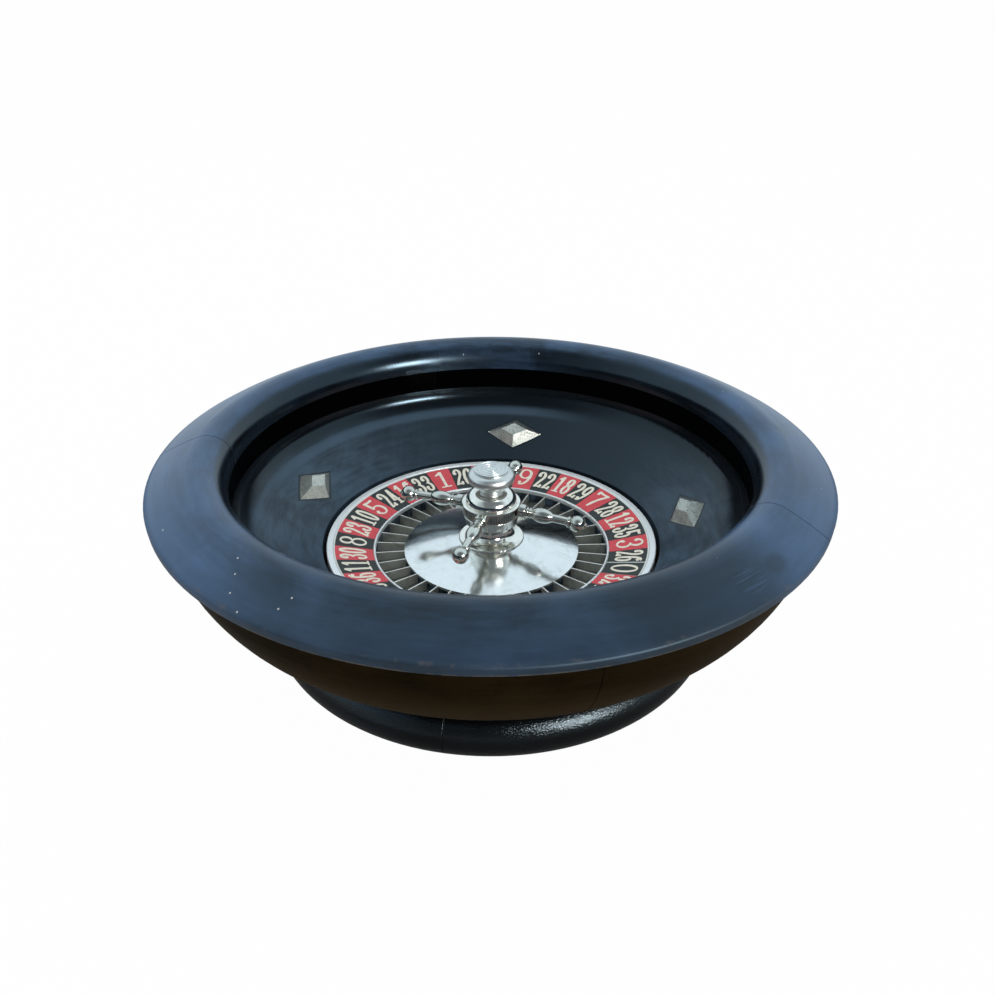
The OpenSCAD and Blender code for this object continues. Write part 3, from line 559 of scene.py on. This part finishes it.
class WHEEL_OT_body(bpy.types.Operator):
    """Lacquers the bulging body ring, more worn towards the foot; painted shade makes it darker
    under the rim and near black inside, and painted light and a painted reflection make it paler
    and more brown towards the foot and to the right
    """

    bl_idname = "wheel.body"
    bl_label = "Body ring"

    def execute(self, context):
        wood = context.scene.wheel_wood
        low, high = foot_of("body_ring_left"), top_of("body_ring_left")
        look, tone, rough, height = lacquer(
            "body_lacquer", wood.body_deep, wood.body_film, BODY_SEAMS, wood,
            film_share=0.35, gloss=(0.30, 0.46), level=0.006, sheen=(1.0, 0.72, 0.45), line=0.4)
        # Over the body's own dark brown: painted shade darkens the top under the rim, and a painted
        # reflection of a brown surface below and painted light from the right make it paler and
        # more brown towards the foot and to the right.
        sunk = look.z.fall(low + 0.002, low + 0.75 * (high - low))
        painted_light = (sunk * 0.75).most(look.x.rise(*BODY_LIT_SIDE) * 0.5)
        # Painted shade: the inside of the body ring, the upper wall of the bowl, is made near
        # black.
        inside = look.r.fall(*BODY_INSIDE)
        patchy = look.noise(look.place, 60.0, 3.0).rise(0.35, 0.6)
        worn = look.z.fall(*(low + up for up in BODY_WORN_UP)) * patchy
        for share, shade in ((painted_light, wood.body_film), (inside, wood.foot_deep),
                             (worn * 0.5, wood.worn)):
            tone = look.mix(share, tone, shade)
        height = height * (1 - inside)
        rough = rough * (1 - inside) + inside * 0.16
        dress(look.join(Base_Color=tone, Roughness=rough, Normal=look.bump(height, 0.00006)),
              "body_ring_left", "body_ring_right")
        return {"FINISHED"}


class WHEEL_OT_track(bpy.types.Operator):
    """Lacquers the ball track board: streaked on the slope, glossy in the cove and on the wall,
    with painted shade on the wall and at the back, painted shadows round the deflectors and a
    painted reflection along the cove
    """

    bl_idname = "wheel.track"
    bl_label = "Ball track"

    def execute(self, context):
        wood = context.scene.wheel_wood
        look, tone, rough, height = lacquer(
            "track_lacquer", wood.track_deep, wood.track_film, (), wood,
            film_share=0.85, gloss=(0.26, 0.40), level=0.5, sheen=(0.6, 0.84, 1.0))
        grain_place = look.point(look.x * 420.0, look.y * 26.0, look.z * 26.0)
        grain = look.noise(grain_place, 1.0, 4.0, 0.6)
        # Painted shade: the back of the track, which the rim shades, is made darker.
        darkened = abs(look.turn + TRACK_SHADE_OFF).rise(*TRACK_SHADE_TURN)
        # Painted shade: the steep wall and the top of the cove are made near black.
        dark = look.r.rise(*TRACK_STEEP)
        for name in DEFLECTORS:
            dark = dark.most(look.below_lozenge(name))
        # Painted reflection: a paler bluish strip along the cove at the back and the left.
        cove = (look.r.rise(*COVE_START) * look.r.fall(*COVE_END) * look.y.rise(*COVE_BACK)
                * look.x.fall(*COVE_LEFT))
        for share, shade in ((grain.rise(0.48, 0.78) * 0.4, wood.track_film),
                             (darkened * 0.97, wood.track_deep), (dark * 0.92, wood.foot_deep),
                             (cove * 0.65, wood.track_film)):
            tone = look.mix(share, tone, shade)
        rough = rough * (1 - dark) + dark * 0.19 + 0.06 * cove
        # The cove of the board ends at the wall, and the finish rounds that corner.
        hollow = (look.r - HOLLOW_START).most(0.0)
        rounded = hollow * hollow * HOLLOW_CURVE
        normal = look.bump((height + 0.5 * grain) * 0.00005 + rounded, 1.0)
        dress(look.join(Base_Color=tone, Roughness=rough, Normal=normal), "apron")
        return {"FINISHED"}


class WHEEL_OT_foot(bpy.types.Operator):
    """Lacquers the round foot glossy black, bare on its inside"""

    bl_idname = "wheel.foot"
    bl_label = "Foot"

    def execute(self, context):
        wood = context.scene.wheel_wood
        look, tone, rough, height = lacquer(
            "foot_lacquer", wood.foot_deep, wood.foot_film, FOOT_SEAMS, wood,
            film_share=0.5, gloss=(0.12, 0.24), level=0.42, sheen=(0.75, 0.92, 1.0),
            streak_scale=(420.0, 24.0))
        height = height + 2.4 * look.noise(look.place, 1300.0, 2.0)
        # Painted sheen: bluish streaks on the foot's left front.
        sheen_streaks = look.noise(look.wrapped(420.0, 14.0), 1.0, 3.0).rise(0.38, 0.66)
        chips = look.noise(look.place, 180.0, 4.0, 0.7)
        rubbed = look.z.fall(*FOOT_RUBBED) * chips.rise(0.48, 0.64)
        inside = look.r.fall(*FOOT_INSIDE)
        rings_place = look.point(look.x * 300.0, look.y * 30.0, look.z * 30.0)
        rings = look.noise(rings_place, 1.0, 4.0, 0.6)
        bare = look.mix(rings.rise(0.35, 0.70), wood.bare_dark, wood.bare)
        for share, shade in ((look.spot(*FOOT_SHEEN) * sheen_streaks * 0.30, wood.rim_film),
                             (rubbed * 0.7, wood.worn), (inside, bare)):
            tone = look.mix(share, tone, shade)
        rough = rough * (1 - inside) + inside * 0.72 + 0.3 * rubbed
        dress(look.join(Base_Color=tone, Roughness=rough,
                        Normal=look.bump(height + inside * rings, 0.00008)),
              "foot_ring_left", "foot_ring_right")
        return {"FINISHED"}


class WHEEL_OT_floor_board(bpy.types.Operator):
    """Gives the floor board its bare wood and the rotor disc its stained wood"""

    bl_idname = "wheel.floor_board"
    bl_label = "Floor board and rotor disc"

    def execute(self, context):
        wood = context.scene.wheel_wood
        for name, node, pale, dark in (
                ("bare_wood", "floor_board", wood.bare, wood.bare_dark),
                ("stained_wood", "rotor_disc", wood.track_film, wood.foot_deep)):
            look = Look(name)
            wave = look.noise(look.place, 9.0, 2.0) * 0.03
            place = look.point((look.x + wave) * 330.0, look.y * 18.0, look.z * 120.0)
            grain = look.noise(place, 1.0, 5.0, 0.6, 0.3)
            place = look.point(look.x * 2600.0, look.y * 90.0, look.z * 900.0)
            pores = look.noise(place, 1.0, 2.0).rise(0.60, 0.72)
            tone = look.mix(grain.rise(0.32, 0.70), dark, pale)
            tone = look.mix(pores * 0.6, tone, dark)
            dress(look.join(Base_Color=tone, Roughness=0.62 + 0.25 * grain,
                            Normal=look.bump(grain - 0.8 * pores, 0.00012)), node)
        return {"FINISHED"}


# ---------------------------------------------------------------- metal pieces

class WHEEL_OT_deflectors(bpy.types.Operator):
    """Gives the four lozenge deflectors their pitted pewter"""

    bl_idname = "wheel.deflectors"
    bl_label = "Deflectors"

    def execute(self, context):
        tones = context.scene.wheel_metal
        look, tone, rough, height = metal("pewter", tones.pewter, tones.pewter_dark,
                                          (0.24, 0.38), 0.40)
        pits = look.noise(look.place, 1500.0, 3.0, 0.7).fall(0.36, 0.50)
        tone = look.mix(pits * 0.6, tone, tones.pewter_dark)
        dress(look.join(Base_Color=tone, Roughness=rough + 0.2 * pits,
                        Normal=look.bump(height * 0.6 - pits, 0.00012)), *DEFLECTORS)
        return {"FINISHED"}


class WHEEL_OT_rings(bpy.types.Operator):
    """Gives the bright outer ring and the fine inner ring their satin metal"""

    bl_idname = "wheel.rings"
    bl_label = "Outer and inner ring"

    def execute(self, context):
        tones = context.scene.wheel_metal
        look, tone, rough, height = metal("ring_metal", tones.satin, tones.nickel_dull,
                                          (0.32, 0.46), 0.14, 0.6)
        dress(look.join(Base_Color=tone, Roughness=rough, Normal=look.bump(height, 0.00004)),
              "outer_ring", "inner_ring")
        return {"FINISHED"}


class WHEEL_OT_cone(bpy.types.Operator):
    """Polishes the cone"""

    bl_idname = "wheel.cone"
    bl_label = "Cone"

    def execute(self, context):
        tones = context.scene.wheel_metal
        look, tone, rough, height = metal("cone_metal", tones.cone, tones.nickel_dull,
                                          (0.07, 0.20), 0.22)
        dress(look.join(Base_Color=tone, Roughness=rough, Normal=look.bump(height, 0.00003)),
              "cone")
        return {"FINISHED"}


class WHEEL_OT_turret(bpy.types.Operator):
    """Polishes the turret, its knob and the four handles"""

    bl_idname = "wheel.turret"
    bl_label = "Turret and handles"

    def execute(self, context):
        tones = context.scene.wheel_metal
        for name, bright, gloss, nodes in (
                ("turret_nickel", tones.nickel, (0.07, 0.20),
                 ("turret_base", "turret_drum", "turret_cap")),
                ("handle_nickel", tones.handles, (0.12, 0.26),
                 ("handle_right", "handle_back", "handle_left", "handle_front")),
                ("knob_satin", tones.knob, (0.28, 0.40), ("finial_knob",))):
            look, tone, rough, height = metal(name, bright, tones.nickel_dull, gloss, 0.35)
            dress(look.join(Base_Color=tone, Roughness=rough, Normal=look.bump(height, 0.00003)),
                  *nodes)
        return {"FINISHED"}


class WHEEL_OT_spindle(bpy.types.Operator):
    """Gives the hidden spindle, bush and screws their steel and brass"""

    bl_idname = "wheel.spindle"
    bl_label = "Spindle, bush and screws"

    def execute(self, context):
        tones = context.scene.wheel_metal
        for name, bright, nodes in (
                ("steel", tones.steel, ("spindle", "spindle_flange", "flange_screws",
                                        "spindle_washer", "spindle_nut", "board_screws")),
                ("brass", tones.brass, ("rotor_bush", "bush_screws", "thrust_plug"))):
            dull = tuple(0.35 * part for part in bright)
            look, tone, rough, height = metal(name, bright, dull, (0.24, 0.42), 0.5)
            dress(look.join(Base_Color=tone, Roughness=rough, Normal=look.bump(height, 0.00005)),
                  *nodes)
        return {"FINISHED"}


class WHEEL_OT_pockets(bpy.types.Operator):
    """Paints the pocket floor and polishes the frets"""

    bl_idname = "wheel.pockets"
    bl_label = "Pockets and frets"

    def execute(self, context):
        tones = context.scene.wheel_metal
        look = Look("pocket_paint")
        clouds = look.noise(look.place, 150.0, 4.0, 0.65)
        fine = look.noise(look.place, 1400.0, 2.0)
        rub = look.noise(look.wrapped(300.0, 900.0), 1.0, 3.0).rise(0.55, 0.80)
        tone = look.mix(clouds.rise(0.35, 0.75) * 0.35, tones.pocket, tones.black)
        tone = look.mix(rub * 0.25, tone, tones.nickel_dull)
        dress(look.join(Base_Color=tone, Roughness=0.34 + 0.2 * clouds,
                        Normal=look.bump(clouds + 0.4 * fine, 0.00008)), "pocket_floor")
        look, tone, rough, height = metal("fret_metal", tones.nickel, tones.nickel_dull,
                                          (0.30, 0.48), 0.6, 0.85)
        dress(look.join(Base_Color=tone, Roughness=rough, Normal=look.bump(height, 0.00003)),
              "frets")
        return {"FINISHED"}


# ---------------------------------------------------------------- number ring

class WHEEL_OT_number_ring(bpy.types.Operator):
    """Enamels the number ring in red and black cells"""

    bl_idname = "wheel.number_ring"
    bl_label = "Number ring"

    def execute(self, context):
        tones = context.scene.wheel_metal
        sizes = context.scene.wheel_numbers
        count = len(NUMBER_ORDER)
        look = Look("enamel", Specular_IOR_Level=0.3, Coat_Weight=0.12, Coat_Roughness=0.08)
        from_zero = (look.maths("ARCTAN2", look.y, look.x) - sizes.zero) / math.tau
        wobble = (look.noise(look.place, 700.0, 2.0) - 0.5) * 0.05
        cell = (from_zero * count + 0.5 + wobble) % count
        index = cell.floor()
        red = (index % 2.0).below(0.5) * index.above(0.5)
        clouds = look.noise(look.place, 240.0, 3.0, 0.6)
        red_tone = look.mix(clouds.rise(0.35, 0.75) * 0.35, tones.red, (0.75, 0.12, 0.13))
        black_pale = tuple(1.8 * part for part in tones.black)
        black_tone = look.mix(clouds.rise(0.35, 0.75) * 0.6, tones.black, black_pale)
        tone = look.mix(red, black_tone, red_tone)
        # The metal shows in a line at each side of the zero and round the ring's outer edge.
        line = abs(cell - 1.0).fall(0.022, 0.038) + abs(cell).fall(0.012, 0.028) * 0.4
        edge_r = reach_of("number_ring")
        edge = look.r.rise(*(edge_r - inward for inward in RING_EDGE_IN))
        bared = (line + edge).least(1.0)
        tone = look.mix(bared, tone, tones.nickel)
        fine = look.noise(look.place, 1800.0, 2.0)
        rough = 0.26 + 0.18 * clouds + 0.05 * fine
        height = clouds * 0.6 + 0.2 * fine + 0.5 * bared
        dress(look.join(Base_Color=tone, Roughness=rough, Metallic=bared * 0.9,
                        Normal=look.bump(height, 0.00006)), "number_ring")
        return {"FINISHED"}


def arc(x, y, wide, high, start, end, steps=20):
    """Points of a part of an ellipse, from start to end in degrees."""
    turns = [math.radians(start + (end - start) * i / steps) for i in range(steps + 1)]
    return [(x + wide * math.cos(t), y + high * math.sin(t)) for t in turns]


def numeral_strokes(digit):
    """Middle lines of a numeral in a unit square, and the balls that end some of them."""
    if digit == 0:
        return [arc(0.5, 0.5, 0.5, 0.5, 0, 360, 36)], []
    if digit == 1:
        return [[(0.55, 0.0), (0.55, 1.0)], [(0.55, 1.0), (0.12, 0.83)],
                [(0.55, 0.93), (0.12, 0.83)], [(0.10, 0.0), (1.0, 0.0)]], []
    if digit == 2:
        return [arc(0.5, 0.74, 0.48, 0.26, 175, -32) + [(0.62, 0.42), (0.30, 0.21), (0.02, 0.02)],
                [(0.0, 0.0), (0.45, 0.05), (1.0, 0.0)], [(1.0, 0.0), (1.0, 0.15)]], [(0.12, 0.745)]
    if digit == 3:
        return [arc(0.46, 0.76, 0.44, 0.24, 175, -82), arc(0.46, 0.26, 0.54, 0.26, 84, -175)], \
               [(0.12, 0.765), (0.06, 0.255)]
    if digit == 4:
        return [[(0.70, 0.0), (0.70, 1.0)], [(0.70, 1.0), (0.0, 0.28)], [(0.0, 0.28), (1.0, 0.28)],
                [(0.42, 0.0), (0.98, 0.0)]], []
    if digit == 5:
        return [[(0.14, 0.52), (0.14, 1.0)], [(0.14, 1.0), (0.55, 0.95), (0.92, 0.98)],
                [(0.14, 0.93), (0.90, 0.93)],
                [(0.14, 0.50)] + arc(0.46, 0.29, 0.54, 0.29, 118, -170)], [(0.06, 0.265)]
    if digit == 6:
        return [arc(0.5, 0.29, 0.5, 0.29, 0, 360, 32),
                arc(0.78, 0.36, 0.78, 0.64, 180, 84)], [(0.86, 0.87)]
    if digit == 7:
        return [[(0.0, 0.82), (0.0, 1.0)], [(0.0, 1.0), (0.45, 0.95), (1.0, 0.98)],
                [(0.0, 0.94), (1.0, 0.94)], [(1.0, 0.98), (0.72, 0.66), (0.50, 0.33), (0.42, 0.0)],
                [(0.95, 0.92), (0.60, 0.5), (0.42, 0.0)]], []
    if digit == 8:
        return [arc(0.5, 0.77, 0.42, 0.23, 0, 360, 28), arc(0.5, 0.27, 0.5, 0.27, 0, 360, 32)], []
    # A nine is a six turned upside down.
    strokes, balls = numeral_strokes(6)
    return ([[(1 - x, 1 - y) for x, y in line] for line in strokes],
            [(1 - x, 1 - y) for x, y in balls])


def outline_round(points):
    """Corners of the smallest convex outline round some points, counter-clockwise."""
    points = sorted(set(points))
    halves = []
    for ordered in (points, points[::-1]):
        half = []
        for p in ordered:
            while len(half) > 1 and ((half[-1][0] - half[-2][0]) * (p[1] - half[-2][1])
                                     - (half[-1][1] - half[-2][1]) * (p[0] - half[-2][0])) <= 0:
                half.pop()
            half.append(p)
        halves += half[:-1]
    return halves


def numeral_shape(digit, wide, high, pen_wide, pen_thin):
    """Flat triangles of one numeral, drawn with a pen that is broader across than along."""
    strokes, balls = numeral_strokes(digit)
    pen = arc(0.0, 0.0, pen_wide / 2, pen_thin / 2, 0, 330, 11)

    def spread(x, y):
        return (x - 0.5) * (wide - pen_wide), y * (high - pen_thin) + pen_thin / 2

    corners, outlines = [], []
    for line in strokes:
        path = [spread(*p) for p in line]
        for a, b in zip(path, path[1:]):
            hull = outline_round([(round(p[0] + q[0], 7), round(p[1] + q[1], 7))
                                  for p in (a, b) for q in pen])
            outlines.append(range(len(corners), len(corners) + len(hull)))
            corners += hull
    for ball in balls:
        x, y = spread(*ball)
        size = 0.62 * pen_wide
        ring = arc(x, y, size, size, 0, 337.5, 15)
        outlines.append(range(len(corners), len(corners) + len(ring)))
        corners += ring
    flat = delaunay_2d_cdt([Vector(p) * 1000 for p in corners], [], [list(o) for o in outlines],
                           1, 1e-4, True)
    filled = [tuple(face) for face, within in zip(flat[2], flat[5]) if within]
    return [(v.x / 1000, v.y / 1000) for v in flat[0]], filled


class WHEEL_OT_numerals(bpy.types.Operator):
    """Draws the numerals 0 to 36 as low relief on the number ring"""

    bl_idname = "wheel.numerals"
    bl_label = "Numerals"

    def execute(self, context):
        tones = context.scene.wheel_metal
        sizes = context.scene.wheel_numbers
        ring_r, ring_h = reach_of("number_ring"), top_of("number_ring")
        top_r = ring_r - sizes.outer_gap
        middle_r = top_r - sizes.height / 2
        pitch = math.tau / len(NUMBER_ORDER)
        shapes = {}
        verts, faces = [], []
        for place, number in enumerate(NUMBER_ORDER):
            digits = [int(mark) for mark in str(number)]
            wide = sizes.single if len(digits) == 1 else sizes.pair
            for side, digit in enumerate(digits):
                if (digit, wide) not in shapes:
                    shapes[digit, wide] = numeral_shape(digit, wide, sizes.height,
                                                        sizes.pen_wide, sizes.pen_thin)
                flat, triangles = shapes[digit, wide]
                shift = (side - (len(digits) - 1) / 2) * (wide + sizes.pair_gap)
                start = len(verts)
                for lift in (sizes.relief, -NUMERAL_SUNK):
                    for x, y in flat:
                        r = top_r - sizes.height + y
                        turn = sizes.zero + place * pitch - (x + shift) / middle_r
                        height = ring_h - (ring_r - r) * math.tan(sizes.slope) + lift
                        verts.append((r * math.cos(turn), r * math.sin(turn), height))
                edges = {}
                for a, b, c in triangles:
                    faces.append((start + a, start + b, start + c))
                    for pair in ((a, b), (b, c), (c, a)):
                        edges[pair] = True
                below = start + len(flat)
                for a, b in edges:
                    if (b, a) not in edges:
                        faces.append((start + b, start + a, below + a, below + b))
        look = Look("number_paint")
        clouds = look.noise(look.place, 500.0, 3.0, 0.6)
        fine = look.noise(look.place, 2600.0, 2.0)
        cream_dark = tuple(0.62 * part for part in tones.cream)
        tone = look.mix(clouds.rise(0.35, 0.75) * 0.35, tones.cream, cream_dark)
        worn = fine.rise(0.60, 0.72) * clouds.rise(0.5, 0.7)
        tone = look.mix(worn * 0.6, tone, tones.nickel_dull)
        paint = look.join(Base_Color=tone, Roughness=0.34 + 0.2 * clouds,
                          Normal=look.bump(clouds, 0.00005))
        new_piece("numerals", verts, faces, paint, "rotor")
        return {"FINISHED"}


# ---------------------------------------------------------------- stage

class WHEEL_OT_camera(bpy.types.Operator):
    """Places the camera"""

    bl_idname = "wheel.camera"
    bl_label = "Camera"

    def execute(self, context):
        stage = context.scene.wheel_stage
        data = bpy.data.cameras.new("camera")
        data.sensor_width = 36.0
        data.sensor_height = 36.0
        data.sensor_fit = "AUTO"
        data.lens = stage.lens
        data.clip_start = 0.02
        data.clip_end = 30.0
        camera = bpy.data.objects.new("camera", data)
        camera.location = (stage.camera_side, -stage.camera_back, stage.camera_height)
        camera.rotation_euler = (math.pi / 2 - stage.camera_pitch, 0.0, 0.0)
        context.scene.collection.objects.link(camera)
        context.scene.camera = camera
        return {"FINISHED"}


def area_lamp(name, place, size, power):
    """A flat lamp at place that faces the wheel."""
    data = bpy.data.lights.new(name, "AREA")
    data.shape = "RECTANGLE"
    data.size, data.size_y = size
    data.energy = power
    lamp = bpy.data.objects.new(name, data)
    lamp.location = place
    lamp.rotation_euler = (Vector(LAMP_AIM) - Vector(place)).to_track_quat("-Z", "Y").to_euler()
    bpy.context.scene.collection.objects.link(lamp)
    return lamp


class WHEEL_OT_stage(bpy.types.Operator):
    """Sets up the pale floor, the pale surroundings and the soft lamps"""

    bl_idname = "wheel.stage"
    bl_label = "Floor and lamps"

    def execute(self, context):
        stage = context.scene.wheel_stage
        mesh = bpy.data.meshes.new("floor")
        corners = ((-1, -1), (1, -1), (1, 1), (-1, 1))
        mesh.from_pydata([(x * FLOOR_HALF, y * FLOOR_HALF, 0.0) for x, y in corners],
                         [], [(0, 1, 2, 3)])
        floor = bpy.data.objects.new("floor", mesh)
        context.scene.collection.objects.link(floor)
        look = Look("floor_paper", Base_Color=(*stage.floor, 1.0), Roughness=0.9,
                    Specular_IOR_Level=0.1)
        mirrored = look.ray("Is Glossy Ray").most(look.ray("Is Transmission Ray"))
        far = look.r.rise(*MIRRORED_FROM) * look.y.rise(*MIRRORED_FRONT)
        shown = look.ray("Is Camera Ray").most(mirrored * far)
        pale = look.mix(mirrored, (1.0, 1.0, 1.0), MIRRORED_TONE)
        white = look.add("ShaderNodeEmission", {}, {"Color": pale, "Strength": 1.0})
        plain = Value(look, look.shader.outputs[0])
        both = look.add("ShaderNodeMixShader", {}, (shown * FLOOR_WHITE, plain, white))
        look.tree.links.new(both.socket, look.output.inputs["Surface"])
        mesh.materials.append(look.material)

        world = bpy.data.worlds.new("surroundings")
        context.scene.world = world
        world.use_nodes = True
        sky = Nodes(world.node_tree)
        way = sky.add("ShaderNodeTexCoord", {}, {}).part("Generated")
        way = sky.add("ShaderNodeSeparateXYZ", {}, {"Vector": way})
        # The room behind the camera is darker than the rest, and metal and lacquer mirror it.
        behind = SKY_DIM_WAY[0] * way.part("Z") - SKY_DIM_WAY[1] * way.part("Y")
        left = -way.part("X")
        dim = behind.rise(*SKY_DIM_RISE) * 0.80 * (1 - 0.35 * left.rise(*SKY_LEFT_RISE))
        mirrored = sky.ray("Is Glossy Ray").most(sky.ray("Is Transmission Ray"))
        shown = sky.ray("Is Camera Ray").most(mirrored)
        level = stage.sky + (1.0 - stage.sky) * shown - mirrored * dim
        pale = sky.mix(mirrored, (1.0, 1.0, 1.0), MIRRORED_TONE)
        light = sky.add("ShaderNodeBackground", {}, {"Color": pale, "Strength": level})
        sky.add("ShaderNodeOutputWorld", {}, {"Surface": light})

        overhead = area_lamp("overhead_lamp", OVERHEAD_PLACE, OVERHEAD_SIZE, stage.overhead)
        overhead.visible_glossy = False
        window = area_lamp("window_lamp", WINDOW_PLACE, WINDOW_SIZE, stage.window)
        window.visible_diffuse = False
        context.scene.view_settings.view_transform = "Standard"
        return {"FINISHED"}


PIECES = (WHEEL_OT_camera, WHEEL_OT_rim, WHEEL_OT_body, WHEEL_OT_track, WHEEL_OT_foot,
          WHEEL_OT_floor_board, WHEEL_OT_deflectors, WHEEL_OT_rings, WHEEL_OT_cone,
          WHEEL_OT_turret, WHEEL_OT_spindle, WHEEL_OT_pockets, WHEEL_OT_number_ring,
          WHEEL_OT_numerals, WHEEL_OT_stage)


class WHEEL_PT_pieces(bpy.types.Panel):
    """Lists the pieces of the wheel"""

    bl_idname = "WHEEL_PT_pieces"
    bl_label = "Roulette wheel"
    bl_space_type = "VIEW_3D"
    bl_region_type = "UI"
    bl_category = "Roulette"

    def draw(self, context):
        for piece in PIECES:
            self.layout.operator(piece.bl_idname)


SETTINGS = {"wheel_wood": WheelWood, "wheel_metal": WheelMetal,
            "wheel_numbers": WheelNumbers, "wheel_stage": WheelStage}


def register():
    for kind in (*SETTINGS.values(), *PIECES, WHEEL_PT_pieces):
        bpy.utils.register_class(kind)
    for name, kind in SETTINGS.items():
        setattr(bpy.types.Scene, name, bpy.props.PointerProperty(type=kind))


def unregister():
    for name in SETTINGS:
        delattr(bpy.types.Scene, name)
    for kind in reversed((*SETTINGS.values(), *PIECES, WHEEL_PT_pieces)):
        bpy.utils.unregister_class(kind)


def main():
    register()
    for piece in PIECES:
        group, name = piece.bl_idname.split(".")
        getattr(getattr(bpy.ops, group), name)()


if __name__ == "__main__":
    main()
